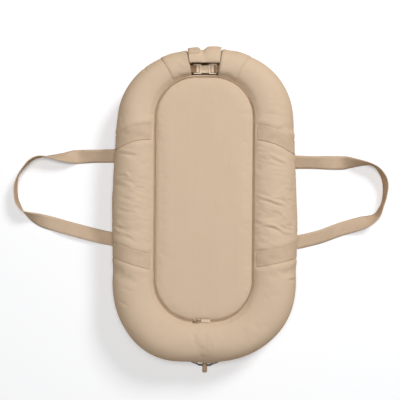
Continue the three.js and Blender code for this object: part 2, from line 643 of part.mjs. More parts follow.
function makeCinch() {
  const cinch = new THREE.Group();
  cinch.position.set(0, SEAM_LENGTH / 2 + TAPE_REACH + GAP + LOCK_WIDTH / 2, STRAP_HEIGHT);
  nest.add(cinch);

  const under = -GAP - STRAP_THICKNESS / 2;
  const over = LOCK_THICKNESS - under;
  const slot = (LOCK_LENGTH - 3 * LOCK_BAR) / 2;
  const slotMiddle = (LOCK_BAR + slot) / 2;
  const slant = slot * STRAP_SLANT_SHARE / 2;
  const lock = LOCK_SPACING / 2;
  const half = [
    [lock + LOCK_BAR, over], [lock - slotMiddle + slant, over],
    [lock - slotMiddle - slant, under],
  ];
  const strap = [...half.map(([x, z]) => [-x, z]), ...half.reverse()];
  add('cinch_strap', bentStrip(strap, STRAP_WIDTH, STRAP_THICKNESS), WEBBING, cinch);

  const ends = { left: [-1, HEAD_END_LEFT], right: [1, HEAD_END_RIGHT] };
  Object.entries(ends).forEach(([name, [side, start]]) => {
    add(`ladder_lock_${name}`, ladderLock(slot), PLASTIC, cinch).position.x = side * lock;
    const frame = seamFrame(side, start);
    const lean = Math.abs(frame.out.x / frame.out.y);
    const nearEdge = cinch.position.y - frame.at.y - STRAP_WIDTH / 2;
    const tubeEnd = Math.abs(frame.at.x) + lean * nearEdge - GAP;
    const turn = lock + slotMiddle;
    const loop = [[tubeEnd, under], [turn, under], [turn, over], [tubeEnd, over]];
    const strip = bentStrip(loop.map(([x, z]) => [side * x, z]), STRAP_WIDTH, STRAP_THICKNESS);
    add(`lock_loop_${name}`, strip, WEBBING, cinch);
  });
}

// A frame with three bars and two slots.
function ladderLock(slot) {
  const plate = new THREE.BoxGeometry(LOCK_LENGTH, LOCK_WIDTH, LOCK_THICKNESS).translate(0, 0, LOCK_THICKNESS / 2);
  const hole = new THREE.BoxGeometry(slot, LOCK_WIDTH - 2 * LOCK_RAIL, 4 * LOCK_THICKNESS);
  const offset = (LOCK_BAR + slot) / 2;
  const cut = [-offset, offset].map((x) => toSolid(hole, new THREE.Matrix4().makeTranslation(x, 0, 0)));
  return toGeometry(toSolid(plate).subtract(cut[0]).subtract(cut[1]));
}

// Foot end: a drawcord from two eyelets, through a cord lock that lies on the floor.
function makeDrawcord() {
  const lock = new THREE.Group();
  const ringFoot = SEAM_LENGTH / 2 + ringSection(seamFrame(1, halfLap)).reach;
  lock.position.set(CORD_OFFSET, -ringFoot - LOCK_STANDOFF, LOCK_BODY_DIAMETER / 2);
  nest.add(lock);

  const slotMiddle = -LOCK_BODY_WALL - SLOT_LENGTH / 2;
  const outer = LOCK_BODY_DIAMETER / 2;
  const bore = BUTTON_DIAMETER / 2 + GAP;
  const floor = -LOCK_BODY_LENGTH + LOCK_BODY_WALL;
  const rim = LOCK_BODY_WALL / 2;
  const cup = turned([
    [0, -LOCK_BODY_LENGTH], [outer - rim, -LOCK_BODY_LENGTH], [outer, rim - LOCK_BODY_LENGTH],
    [outer, -rim], [outer - rim, 0], [bore, 0], [bore, floor], [0, floor],
  ]);
  const slot = new THREE.BoxGeometry(2 * LOCK_BODY_DIAMETER, SLOT_LENGTH, SLOT_HEIGHT).translate(0, slotMiddle, 0);
  add('cord_lock_body', toGeometry(toSolid(cup).subtract(toSolid(slot))), PLASTIC, lock);

  // The plunger's slot is longer, so that the cord stays clear of it through the button's travel.
  const pinEnd = slotMiddle - SLOT_LENGTH / 2 - BUTTON_SOLE;
  const stem = BUTTON_DIAMETER / 2;
  const round = stem * BUTTON_ROUND_SHARE;
  const plunger = turned([
    [0, pinEnd], [stem, pinEnd], [stem, BUTTON_PROUD - round], [stem - round, BUTTON_PROUD], [0, BUTTON_PROUD],
  ]);
  const longSlot = new THREE.BoxGeometry(2 * BUTTON_DIAMETER, SLOT_LENGTH + BUTTON_TRAVEL, SLOT_HEIGHT)
    .translate(0, slotMiddle + BUTTON_TRAVEL / 2, 0);
  add('cord_lock_button', toGeometry(toSolid(plunger).subtract(toSolid(longSlot))), PLASTIC, lock);

  const coilRadius = stem - SPRING_WIRE;
  const coilTop = pinEnd - GAP - SPRING_WIRE / 2;
  const coilBottom = floor + GAP + SPRING_WIRE / 2;
  const steps = SPRING_TURNS * SPRING_STEPS;
  const coil = spread(0, 1, steps).map((share) => {
    const turn = share * SPRING_TURNS * 2 * Math.PI;
    const height = THREE.MathUtils.lerp(coilTop, coilBottom, share);
    return new THREE.Vector3(coilRadius * Math.cos(turn), height, coilRadius * Math.sin(turn));
  });
  add('cord_lock_spring', cordTube(coil, SPRING_WIRE, steps, SPRING_SIDES), SPRING_STEEL, lock);

  makeCord('left', -1, lock.position, slotMiddle);
  makeCord('right', 1, lock.position, slotMiddle);
}

function turned(profile) {
  return new THREE.LatheGeometry(profile.map(([x, y]) => new THREE.Vector2(x, y)), TURNED_SIDES);
}

function cordTube(points, diameter, steps, sides) {
  const section = new THREE.Shape(spread(0, 2 * Math.PI, sides).slice(0, -1).map((turn) => (
    new THREE.Vector2(Math.cos(turn), Math.sin(turn)).multiplyScalar(diameter / 2))));
  const extrudePath = new THREE.CatmullRomCurve3(points);
  return new THREE.ExtrudeGeometry(section, { extrudePath, steps });
}

// One strand: out of its eyelet, through the lock, and a short tail that ends in a knot.
function makeCord(name, side, lockPlace, slotMiddle) {
  const frameReach = SEAM_CORNER_RADIUS + RING_REACH;
  const from = Math.abs(CORD_OFFSET + side * EYELET_SPACING / 2) - headFlat;
  const lap = halfLap - headFlat - Math.asin(from / frameReach) * SEAM_CORNER_RADIUS;
  const corners = EYELET_ANGLES.map((angle) => onRing(side, lap, angle));
  const [upper, lower] = corners;
  const outward = onRing(side, lap - SEAM_CORNER_RADIUS * EYELET_LEAN_SHARE, EYELET_ANGLES[0])
    .sub(upper).cross(lower.clone().sub(upper)).normalize();
  if (outward.y > 0) outward.negate();
  const seat = upper.clone().lerp(lower, EYELET_SEAT_SHARE);

  const ring = turned([
    [EYELET_BORE / 2, 0], [EYELET_DIAMETER / 2, 0], [EYELET_DIAMETER / 2, EYELET_THICKNESS],
    [EYELET_BORE / 2, EYELET_THICKNESS], [EYELET_BORE / 2, 0],
  ]);
  const eyelet = add(`cord_eyelet_${name}`, ring, PAINTED);
  eyelet.position.copy(seat).addScaledVector(outward, GAP);
  eyelet.quaternion.setFromUnitVectors(new THREE.Vector3(0, 1, 0), outward);

  const middle = new THREE.Vector3(0, slotMiddle, 0).add(lockPlace);
  const route = CORD_ROUTE.map(([x, y, z]) => {
    const shift = side > 0 && Math.abs(y) < CORD_DIAMETER * 2 ? -CORD_SPACING : 0;
    return new THREE.Vector3(-side * x, y + shift, z).add(middle);
  });
  const start = seat.clone().addScaledVector(outward, GAP);
  const lead = seat.clone().addScaledVector(outward, CORD_DIAMETER * 2);
  const tail = route.at(-1);
  add(`drawcord_${name}`, cordTube([start, lead, ...route], CORD_DIAMETER, CORD_STEPS, CORD_SIDES), CORD);

  const onward = tail.clone().sub(route.at(-2)).normalize();
  const knot = add(`cord_knot_${name}`, new THREE.SphereGeometry(KNOT_DIAMETER / 2, ...KNOT_STEPS), CORD);
  knot.position.copy(tail).addScaledVector(onward, KNOT_DIAMETER / 2 + GAP);
}

makeRing();
makeBase();
makeZipper();
makeSlider();
makeAnchor('upper_left', -1, ANCHOR_UPPER_LEFT, ANCHOR_SLOPES.upperLeft);
makeAnchor('lower_left', -1, ANCHOR_LOWER_LEFT, ANCHOR_SLOPES.lowerLeft);
makeAnchor('upper_right', 1, ANCHOR_UPPER_RIGHT, ANCHOR_SLOPES.upperRight);
makeAnchor('lower_right', 1, ANCHOR_LOWER_RIGHT, ANCHOR_SLOPES.lowerRight);
makeHandle('left', -1, HANDLE_REACH_LEFT, ANCHOR_UPPER_LEFT, ANCHOR_LOWER_LEFT, HANDLE_ROUTE_LEFT_SHARES);
makeHandle('right', 1, HANDLE_REACH_RIGHT, ANCHOR_UPPER_RIGHT, ANCHOR_LOWER_RIGHT, HANDLE_ROUTE_RIGHT_SHARES);
makeHeadEnd();
makeDrawcord();

// The origin lies on the floor, below the middle of the whole.
nest.position.set(
  (HANDLE_REACH_LEFT - HANDLE_REACH_RIGHT) / 2,
  (RING_REACH - ringSection(seamFrame(1, 0)).reach) / 2,
  0,
);

export default nest;
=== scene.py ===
# %% [markdown]
# # Dressing a portable baby nest
#
# The nest lies on its rim with its base upward, as it is carried and as it was photographed. Every hard
# fact about it, such as sizes, joints and the way it lies on the floor, is already in a CAD frame. This
# lesson adds what CAD leaves plain: puffy cloth, webbing, stitches, a zipper with teeth, and light.
#
# The frame is loaded first, because each new piece is set against it.

# %% Load the frame
import math

import bmesh
import bpy
import numpy as np
from mathutils import Matrix, Vector
from mathutils.bvhtree import BVHTree


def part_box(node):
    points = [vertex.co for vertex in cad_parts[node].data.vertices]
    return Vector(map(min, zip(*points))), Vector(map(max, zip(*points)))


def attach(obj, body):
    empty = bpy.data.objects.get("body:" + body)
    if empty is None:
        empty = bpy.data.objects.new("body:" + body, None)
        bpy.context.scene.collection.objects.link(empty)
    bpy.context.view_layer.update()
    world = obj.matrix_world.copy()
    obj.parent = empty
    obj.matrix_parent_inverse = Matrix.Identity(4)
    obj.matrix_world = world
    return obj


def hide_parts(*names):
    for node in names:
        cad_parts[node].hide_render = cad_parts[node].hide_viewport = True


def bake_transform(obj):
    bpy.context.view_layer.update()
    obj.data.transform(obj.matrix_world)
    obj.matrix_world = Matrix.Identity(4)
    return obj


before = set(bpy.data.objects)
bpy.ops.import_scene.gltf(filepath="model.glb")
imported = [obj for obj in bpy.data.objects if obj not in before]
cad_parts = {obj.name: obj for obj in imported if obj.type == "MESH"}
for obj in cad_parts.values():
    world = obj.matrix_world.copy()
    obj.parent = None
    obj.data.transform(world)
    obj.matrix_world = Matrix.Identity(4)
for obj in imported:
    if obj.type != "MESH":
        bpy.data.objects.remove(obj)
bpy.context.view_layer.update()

bpy.ops.object.select_all(action="DESELECT")

# %% [markdown]
# ## The zipper line
#
# Everything on this nest follows one closed line, the zipper that holds the base in the ring. It is a
# rounded rectangle. A place on it is given as a signed run from the middle of the head end: to the left
# negative, to the right positive. One function turns that run into a point and the way that faces
# outward, and every soft piece below is laid out with it, so they all fit together.

# %% Sizes of the zipper line and the ring, in metres
PANEL_MIDDLE = np.array([0.010, 0.018])
SEAM_WIDTH = 0.259
SEAM_LENGTH = 0.645
SEAM_CORNER = 0.108
RING_REACH = 0.120
RING_HEIGHT = 0.121
RING_OVERHANG = 0.010
FLOOR_CUT = 0.001
TUBE_ENDS = {"left": 0.038, "right": 0.036}
SIDES = {"left": -1, "right": 1}

HEAD_FLAT = SEAM_WIDTH / 2 - SEAM_CORNER
SIDE_FLAT = SEAM_LENGTH - 2 * SEAM_CORNER
CORNER_RUN = SEAM_CORNER * math.pi / 2
HALF_RUN = 2 * HEAD_FLAT + 2 * CORNER_RUN + SIDE_FLAT
RING_MIDDLE = RING_HEIGHT / 2

# Share of the way from head to foot, and share of the ring's full reach there.
REACH_RIGHT = np.array([
    [0, 0.66], [0.035, 0.7], [0.055, 0.69], [0.075, 0.67], [0.1, 0.71], [0.13, 0.775], [0.166, 0.83],
    [0.235, 0.88], [0.5, 0.98], [0.588, 1.02], [0.765, 1], [0.834, 1.06], [0.904, 1], [0.95, 0.96],
    [1, 0.93],
])
REACH_LEFT = np.array([
    [0, 0.64], [0.045, 0.665], [0.075, 0.635], [0.1, 0.675], [0.166, 0.8], [0.235, 0.9], [0.5, 0.975],
    [0.588, 0.965], [0.765, 0.91], [0.834, 1], [0.904, 1.085], [0.939, 1], [0.974, 0.925], [1, 0.93],
])
HEIGHTS = np.array([[0, 0.92], [0.1, 0.95], [0.235, 1], [1, 1]])
SMOOTHING = np.linspace(-0.03, 0.03, 7)
SECTION_POWER = 2.4
# The ring lies turned by a little on the pad, so one side reaches out further at the head.
RING_TURN = math.radians(-0.8)


def eased(table, share):
    """The table's value at one share, averaged a little to both sides so that it has no corners."""
    return float(np.mean(np.interp(share + SMOOTHING, table[:, 0], table[:, 1])))


def seam_place(run):
    """A point of the zipper line in plan, and the way that faces outward there."""
    side = 1 if run >= 0 else -1
    lap = abs(run)
    head_end = HEAD_FLAT + CORNER_RUN
    side_end = head_end + SIDE_FLAT
    corner_y = SEAM_LENGTH / 2 - SEAM_CORNER
    if lap < HEAD_FLAT:
        turn = 0
        point = [side * lap, SEAM_LENGTH / 2]
    elif lap < head_end:
        turn = (lap - HEAD_FLAT) / SEAM_CORNER
        corner_x = HEAD_FLAT + SEAM_CORNER * math.sin(turn)
        point = [side * corner_x, corner_y + SEAM_CORNER * math.cos(turn)]
    elif lap < side_end:
        turn = math.pi / 2
        point = [side * SEAM_WIDTH / 2, corner_y - (lap - head_end)]
    elif lap < side_end + CORNER_RUN:
        turn = math.pi / 2 + (lap - side_end) / SEAM_CORNER
        corner_x = HEAD_FLAT + SEAM_CORNER * math.sin(turn)
        point = [side * corner_x, SEAM_CORNER * math.cos(turn) - corner_y]
    else:
        turn = math.pi
        point = [side * (HALF_RUN - lap), -SEAM_LENGTH / 2]
    return PANEL_MIDDLE + point, np.array([side * math.sin(turn), math.cos(turn)])


def ring_section(run):
    """Half width, half height and middle of the ring's section, out from the zipper line."""
    share = abs(run) / HALF_RUN
    reach = RING_REACH * eased(REACH_RIGHT if run >= 0 else REACH_LEFT, share)
    place, out = seam_place(run)
    spot = place + out * reach - PANEL_MIDDLE
    reach += RING_TURN * (out[1] * spot[0] - out[0] * spot[1])
    half_width = (reach + RING_OVERHANG) / 2
    half_height = (RING_MIDDLE + FLOOR_CUT) * eased(HEIGHTS, share)
    return half_width, half_height, reach - half_width


def in_space(place, out, across, height):
    """A point so far outward from a place on the zipper line, and so high."""
    return np.array([place[0] + out[0] * across, place[1] + out[1] * across, height])


print(f"zipper line: {2 * HALF_RUN:.3f} m round, ring {ring_section(0.4)[0] * 2:.3f} m wide at the side")

# %% [markdown]
# ## Camera
#
# The photograph was taken from straight above, a good way up, and turned by about half a degree. A
# camera at 1.9 m with a narrow field gives the same slight perspective: the handles on the floor look a
# little smaller than the ring's crown. Nothing is tilted, so the camera only needs a place and a turn.

# %% Camera
CAMERA_PLACE = (-0.0011, 0.0145)
CAMERA_HEIGHT = 1.9
CAMERA_FIELD = math.radians(32.74)
CAMERA_TURN = math.radians(0.4)

bpy.ops.object.camera_add(location=(*CAMERA_PLACE, CAMERA_HEIGHT), rotation=(0, 0, CAMERA_TURN))
camera = bpy.context.object
camera.name = "camera"
camera.data.angle = CAMERA_FIELD
bpy.context.scene.camera = camera
print("camera sees", round(2 * CAMERA_HEIGHT * math.tan(CAMERA_FIELD / 2), 3), "m of floor")

# %% [markdown]
# ## Drawcord
#
# At the foot a thin round cord comes out of two eyelets, runs through a spring cord lock that lies on
# the floor, and ends in two knots. Each strand is a tube along a smooth curve through a few points. The
# points are those of the CAD route, so the cord threads the lock exactly where the lock has its slot.

# %% Drawcord route
CORD_DIAMETER = 0.0025
# Its yarns stand out by CORD_LAY, so the tube itself is a little thinner. They twist by so many radians
# a metre.
CORD_CORE = 0.97
CORD_LAY = 0.05
CORD_TWIST = 900
# Where the eyelets sit: past the end of the foot's corner, at this angle round the ring's section.
EYELET_CORNER_SHARE = 0.1
EYELET_ANGLE = -22
EYELET_DEPTH = 0.001
CORD_LOCK_MOUTH = np.array([0.015, -0.4387, 0.0065])
CORD_SLOT_DEPTH = 0.0049
STRAND_SPACING = 0.003
STRAND_ROUTE = np.array([
    [-36, 11.2, 15], [-24, 5.2, 9], [-14, 1.6, 3.8], [-9, 0.9, 1.4], [0, 1.5, 0], [9, 0.9, -1.5],
    [14, 0.8, -2.6], [20, 3.4, -3.5], [24, 7, -3.6],
]) / 1000


def smooth_line(points, steps):
    """Points along a Catmull-Rom curve, so many for each stretch between two given points."""
    points = np.asarray(points, float)
    ends = np.vstack([2 * points[0] - points[1], points, 2 * points[-1] - points[-2]])
    line = []
    for before, here, there, after in zip(ends, ends[1:], ends[2:], ends[3:]):
        for t in np.arange(steps) / steps:
            line.append(0.5 * (2 * here + (there - before) * t
                               + (2 * before - 5 * here + 4 * there - after) * t ** 2
                               + (3 * here - before - 3 * there + after) * t ** 3))
    line.append(points[-1])
    return np.array(line)


def run_length(line):
    return float(np.linalg.norm(np.diff(line, axis=0), axis=1).sum())


def walked(line):
    """How far one has walked along a line at each of its points."""
    return np.concatenate([[0], np.cumsum(np.linalg.norm(np.diff(line, axis=0), axis=1))])


def strand_points(side, seat, outward):
    """One strand from its eyelet to its tail. seat is the eyelet's middle on the cloth."""
    slot = CORD_LOCK_MOUTH - [0, CORD_SLOT_DEPTH, 0]
    route = STRAND_ROUTE * [-side, 1, 1]
    if side > 0:
        route[np.abs(route[:, 1]) < 2 * CORD_DIAMETER, 1] -= STRAND_SPACING
    lead = [seat + outward * 0.0003, seat + outward * 2 * CORD_DIAMETER]
    return np.vstack([lead, slot + route])


def cloth_normal(run, angle):
    """The way the ring's outside faces, at one run along the zipper and one angle round its section."""
    run_step, angle_step = 0.004, 3
    along = on_section(run + run_step, angle) - on_section(run - run_step, angle)
    around = on_section(run, angle - angle_step) - on_section(run, angle + angle_step)
    normal = np.cross(along, around)
    normal /= np.linalg.norm(normal)
    _, out = seam_place(run)
    return normal if normal @ [*out, 0] > 0 else -normal


def on_section(run, angle, power=SECTION_POWER):
    """A point of the ring's section: 90 degrees is its crown, 0 its outer side, -90 the floor."""
    half_width, half_height, middle = ring_section(run)
    cosine, sine = math.cos(math.radians(angle)), math.sin(math.radians(angle))
    across = middle + half_width * math.copysign(abs(cosine) ** (2 / power), cosine)
    height = RING_MIDDLE + half_height * math.copysign(abs(sine) ** (2 / power), sine)
    return in_space(*seam_place(run), across, max(0, height))


# %% Both strands, as round tubes
TAU = 2 * math.pi
YARNS = 3


def round_tube(name, line, diameter, sides, twist, lay):
    """A closed tube along a line. lay is how far its yarns stand out, as a share of its radius."""
    line = np.asarray(line)
    ways = np.gradient(line, axis=0)
    ways /= np.linalg.norm(ways, axis=1)[:, None]
    side = np.cross(ways[0], [0, 0, 1])
    verts = []
    lengths = walked(line)
    for point, way, length in zip(line, ways, lengths):
        side = side - way * (side @ way)
        side /= np.linalg.norm(side)
        up = np.cross(way, side)
        for j in range(sides):
            angle = TAU * j / sides
            radius = diameter / 2 * (1 + lay * math.cos(YARNS * (angle + twist * length)))
            verts.append(point + (side * math.cos(angle) + up * math.sin(angle)) * radius)
    last = (len(line) - 1) * sides
    faces = [(k + j, k + (j + 1) % sides, k + sides + (j + 1) % sides, k + sides + j)
             for k in range(0, last, sides) for j in range(sides)]
    faces += [tuple(range(sides))[::-1], tuple(range(last, last + sides))]
    piece = new_piece(name, verts, faces)
    layer = piece.data.uv_layers.new(name="weave")
    for face in piece.data.polygons:
        turns = [v % sides for v in face.vertices]
        wraps = max(turns) - min(turns) > sides / 2
        for loop, vert, turn in zip(face.loop_indices, face.vertices, turns):
            share = turn / sides + (1 if wraps and turn < sides / 2 else 0)
            layer.data[loop].uv = (lengths[vert // sides], share * math.pi * diameter)
    return piece


def new_piece(name, verts, faces):
    """A smooth mesh object at the origin."""
    mesh = bpy.data.meshes.new(name)
    mesh.from_pydata([tuple(v) for v in verts], [], [tuple(f) for f in faces])
    mesh.shade_smooth()
    mesh.update()
    piece = bpy.data.objects.new(name, mesh)
    bpy.context.collection.objects.link(piece)
    return piece


def face_outward(piece, merge=0):
    """Joins points that lie nearer than merge, and turns all faces outward."""
    work = bmesh.new()
    work.from_mesh(piece.data)
    if merge:
        bmesh.ops.remove_doubles(work, verts=work.verts, dist=merge)
    bmesh.ops.recalc_face_normals(work, faces=work.faces)
    work.to_mesh(piece.data)
    work.free()


def node_middle(name):
    low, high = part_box(name)
    return (np.array(low) + np.array(high)) / 2


strands = {}
for word, side in SIDES.items():
    middle = node_middle(f"cord_eyelet_{word}")
    foot_run = side * (HALF_RUN - HEAD_FLAT - SEAM_CORNER * EYELET_CORNER_SHARE)
    outward = cloth_normal(foot_run, EYELET_ANGLE)
    route = smooth_line(strand_points(side, middle - outward * EYELET_DEPTH, outward), 8)
    core = CORD_DIAMETER * CORD_CORE
    strand = round_tube(f"drawcord_strand_{word}", route, core, 12, CORD_TWIST, CORD_LAY)
    face_outward(strand)
    strands[word] = (strand, route, node_middle(f"cord_knot_{word}"))
    print(f"strand {word}: {run_length(route) * 1000:.1f} mm long")

# %% [markdown]
# ## Floor and light
#
# The photograph is a studio cut-out: a white floor with one soft shadow to the lower left. Two soft
# lamps make that: one straight above gives most of the light and darkens the ring toward its outer
# side, and one from the upper right throws the shadow. The world adds a little, so colours come out
# about as they are written. Only the camera sees the white of the floor and of the world: the cloth is
# lit by a dimmer floor.

# %% Floor, world and lamps
FLOOR_SIZE = 8
FLOOR_DROP = 0.0005
WORLD_LIGHT = (0.12, 0.108, 0.09)
WORLD_SEEN = (1, 1, 1)
# Each lamp: size, distance, elevation and azimuth in degrees, power.
LAMPS = {
    "key_lamp": (1.3, 5, 40, 51, 113),
    "overhead_lamp": (2.4, 6, 83, 95, 204),
}
LAMP_COLOUR = (1, 1.01, 1.03)

scene = bpy.context.scene
scene.view_settings.view_transform = "Standard"
world = bpy.data.worlds.new("studio")
scene.world = world
world.use_nodes = True

for name, (size, distance, elevation, azimuth, power) in LAMPS.items():
    high, turn = math.radians(elevation), math.radians(azimuth)
    way = Vector((math.cos(high) * math.cos(turn), math.cos(high) * math.sin(turn), math.sin(high)))
    bpy.ops.object.light_add(type="AREA", location=way * distance)
    lamp = bpy.context.object
    lamp.name = name
    lamp.rotation_euler = way.to_track_quat("Z", "Y").to_euler()
    lamp.data.size = size
    lamp.data.energy = power
    lamp.data.color = LAMP_COLOUR

bpy.ops.object.select_all(action="DESELECT")
bpy.ops.mesh.primitive_plane_add(size=FLOOR_SIZE, location=(0, 0, -FLOOR_DROP))
floor = bpy.context.object
floor.name = "studio_floor"
bpy.ops.object.transform_apply(location=True, rotation=True, scale=True)

# %% [markdown]
# ## Writing a material as a sum
#
# Blender's shader nodes are boxes and wires, but their maths reads best as a sum. A small class holds
# one output socket, and its operators add the Math nodes. Every other node comes from one method that
# takes the node's type, its settings and what goes into its sockets.

# %% Shader sums
def linear(*colour):
    """A colour as a screen has it, 0 to 255, as the light values that a shader wants."""
    return tuple(((c / 255 + 0.055) / 1.055) ** 2.4 for c in colour)


class Wire:
    """One output of a shader node. Adding and multiplying wires adds Math nodes."""

    def __init__(self, finish, socket):
        self.finish = finish
        self.socket = socket

    def math(self, operation, *values):
        return self.finish.node("ShaderNodeMath", {"operation": operation}, dict(enumerate(values)))

    def __add__(self, other):
        return self.math("ADD", self, other)

    def __mul__(self, other):
        return self.math("MULTIPLY", self, other)

    __radd__ = __add__
    __rmul__ = __mul__

    def sine(self):
        return self.math("SINE", self)

    def clear(self, low, high):
        """0 below low, 1 above high, and a straight ramp between."""
        sockets = {0: self, 1: low, 2: high, 3: 0.0, 4: 1.0}
        return self.finish.node("ShaderNodeMapRange", {"clamp": True}, sockets)


class Finish:
    """A material of one principled shader, with helpers that add the nodes behind it."""

    def __init__(self, name, colour, roughness, **even):
        self.material = bpy.data.materials.new(name)
        self.material.use_nodes = True
        self.tree = self.material.node_tree
        self.shader = self.tree.nodes["Principled BSDF"]
        even.update(base_color=(*colour, 1), roughness=roughness)
        for socket, value in even.items():
            name = socket.replace("_", " ").title().replace("Ior", "IOR")
            self.shader.inputs[name].default_value = value

    def node(self, kind, settings=None, inputs=None, output=0):
        made = self.tree.nodes.new(kind)
        for key, value in (settings or {}).items():
            setattr(made, key, value)
        for key, value in (inputs or {}).items():
            if isinstance(value, Wire):
                self.tree.links.new(value.socket, made.inputs[key])
            else:
                made.inputs[key].default_value = value
        return Wire(self, made.outputs[output])

    def feed(self, socket, wire):
        self.tree.links.new(wire.socket, self.shader.inputs[socket])

    def blend(self, first, second, amount):
        """One colour turning into another."""
        ends = [c if isinstance(c, Wire) else (*c, 1) for c in (first, second)]
        return self.node("ShaderNodeMix", {"data_type": "RGBA"}, {0: amount, 6: ends[0], 7: ends[1]}, 2)

    def place(self):
        """Where a point is on the object, in metres."""
        return self.node("ShaderNodeTexCoord", output=3)

    def woven_place(self):
        """Where a point is along and across the cloth, in metres, from the piece's own map."""
        return self.node("ShaderNodeUVMap", {"uv_map": "weave"})

    def stretched(self, place, scale):
        return self.node("ShaderNodeVectorMath", {"operation": "MULTIPLY"}, {0: place, 1: scale})

    def patches(self, place, scale, detail=3.0, roughness=0.5):
        sockets = {"Vector": place, "Scale": scale, "Detail": detail, "Roughness": roughness}
        return self.node("ShaderNodeTexNoise", None, sockets)

    def parts(self, place):
        outputs = self.node("ShaderNodeSeparateXYZ", None, {0: place}).socket.node.outputs
        return [Wire(self, socket) for socket in outputs]

    def raise_by(self, height, distance):
        """Feeds a height, 0 to 1, to the shader as small relief of so many metres."""
        sockets = {"Strength": 1.0, "Distance": distance, "Height": height}
        self.feed("Normal", self.node("ShaderNodeBump", None, sockets))


class Sky(Finish):
    """The world: a dim light for the pieces, and white where the camera looks past the floor."""

    def __init__(self, world):
        self.tree = world.node_tree
        self.shader = self.tree.nodes["Background"]


# %% White floor and white world
def rays_seen(finish):
    """1 for what the camera sees, also in something shiny or clear, and 0 for light that bounces."""
    camera_ray, glossy_ray, transmission_ray = (
        finish.node("ShaderNodeLightPath", output=f"Is {kind} Ray")
        for kind in ("Camera", "Glossy", "Transmission"))
    return camera_ray + glossy_ray + transmission_ray


sky = Sky(world)
sky.feed("Color", sky.blend(WORLD_LIGHT, WORLD_SEEN, rays_seen(sky)))
FLOOR_LIFT = 0.1
FLOOR_SEEN = (0.975, 0.985, 1.0)
FLOOR_BOUNCE = (0.62, 0.49, 0.35)
floor_finish = Finish("floor_paper", FLOOR_BOUNCE, 0.9, specular_ior_level=0, emission_strength=1)
seen = rays_seen(floor_finish)
floor_finish.feed("Base Color", floor_finish.blend(FLOOR_BOUNCE, FLOOR_SEEN, seen))
floor_finish.feed("Emission Color", seen * FLOOR_LIFT)
floor.data.materials.append(floor_finish.material)

# %% [markdown]
# ## Cloth, webbing and trim
#
# The cloth is a fine cotton canvas. From a step away it looks plain, with faint slubs along its threads,
# and close up each thread shows as relief. The weave follows a map that each cloth piece carries, in
# metres, so threads are the same size all over. The webbing is coarser, with ribs across and a firm
# edge. The small fittings are moulded in the cloth's colour. Some pieces carry painted shade and light
# in
# their colour: the zipper coil and the lock loops are darker as painted shade, the cord and the cord
# lock partly so, and the cinch strap is lighter as painted light, the ladder locks partly so.

# %% Woven finishes
CLOTH = linear(213, 190, 164)
CLOTH_DEEP = linear(200, 176, 149)
WEBBING = linear(208, 184, 158)
WEBBING_DEEP = linear(191, 166, 139)
THREAD_PITCH = 0.0006
# Slubs are long along one thread and narrow across it: noise cells a metre, each way.
SLUB_UP, SLUB_ACROSS = (30, 1400, 1), (1400, 30, 1)


def woven(name, colour, deep, pitch, relief, slub=0.5, wear=0.35):
    """Plain-woven cloth: threads of one pitch that pass over and under each other, with slubs."""
    finish = Finish(name, colour, 0.92, sheen_weight=0.03, sheen_roughness=0.5, specular_ior_level=0.12)
    place = finish.woven_place()
    along, across, _ = finish.parts(place)
    over = (along * (TAU / pitch)).sine() * (across * (TAU / pitch)).sine()
    slubs_up = finish.patches(finish.stretched(place, SLUB_UP), 1.0)
    slubs_across = finish.patches(finish.stretched(place, SLUB_ACROSS), 1.0)
    cloudy = finish.patches(finish.place(), 14, 4)
    tone = (slubs_up * 0.5 + slubs_across * 0.5) * slub + cloudy * wear + (over * 0.08)
    finish.feed("Base Color", finish.blend(colour, deep, tone.clear(0.25, 1.0)))
    finish.raise_by(over * 0.5 + slubs_up * 0.5 + slubs_across * 0.5, relief)
    return finish


def ribbed(name, colour, deep, rib, relief):
    """Flat webbing: ribs across the strap with fine chevrons, and rows of thread along it."""
    finish = Finish(name, colour, 0.85, specular_ior_level=0.3, sheen_weight=0.08)
    place = finish.woven_place()
    along, across, _ = finish.parts(place)
    rows = (across * (TAU / (2.2 * rib))).sine()
    ribs = ((along + rows * (0.35 * rib)) * (TAU / rib)).sine()
    cloudy = finish.patches(finish.place(), 40, 3)
    tone = ribs * 0.12 + rows * 0.1 + cloudy * 0.7
    finish.feed("Base Color", finish.blend(colour, deep, tone.clear(0.1, 0.75)))
    finish.raise_by(ribs * 0.3 + rows * 0.3 + cloudy * 0.2, relief)
    return finish


cloth_finish = woven("cotton_canvas", CLOTH, CLOTH_DEEP, THREAD_PITCH, 0.00003)
band_finish = woven("band_canvas", linear(212, 189, 163), linear(198, 174, 147), 0.0007, 0.00004)
lining_finish = woven("lining_jersey", linear(222, 202, 178), linear(208, 186, 160), 0.0005, 0.00002)
webbing_finish = ribbed("handle_webbing", WEBBING, WEBBING_DEEP, 0.0016, 0.00018)
tape_finish = ribbed("zipper_tape", linear(205, 180, 152), linear(184, 159, 131), 0.0007, 0.00008)
# The cord's very dark brown is partly its own colour and partly painted shade: the shadow under the
# ring's foot, where the cord runs.
shaded_cord_finish = ribbed("braided_cord_painted_shade", linear(92, 64, 40), linear(58, 38, 22), 0.0012, 0.0002)


# %% Thread, plastic and painted metal
def moulded(name, colour, roughness, metallic=0.0, grain=0.00002, coat=0.0):
    """Moulded or painted trim with a fine skin and slightly rubbed high spots."""
    finish = Finish(name, colour, roughness, coat_weight=coat, metallic=metallic)
    skin = finish.patches(finish.place(), 900, 2)
    rubbed = finish.patches(finish.place(), 160, 3)
    lighter = tuple(min(1, c * 1.12) for c in colour)
    darker = tuple(c * 0.86 for c in colour)
    finish.feed("Base Color", finish.blend(darker, lighter, rubbed.clear(0.3, 0.7)))
    finish.feed("Roughness", (roughness - 0.08) + skin * 0.16)
    finish.raise_by(skin, grain)
    return finish
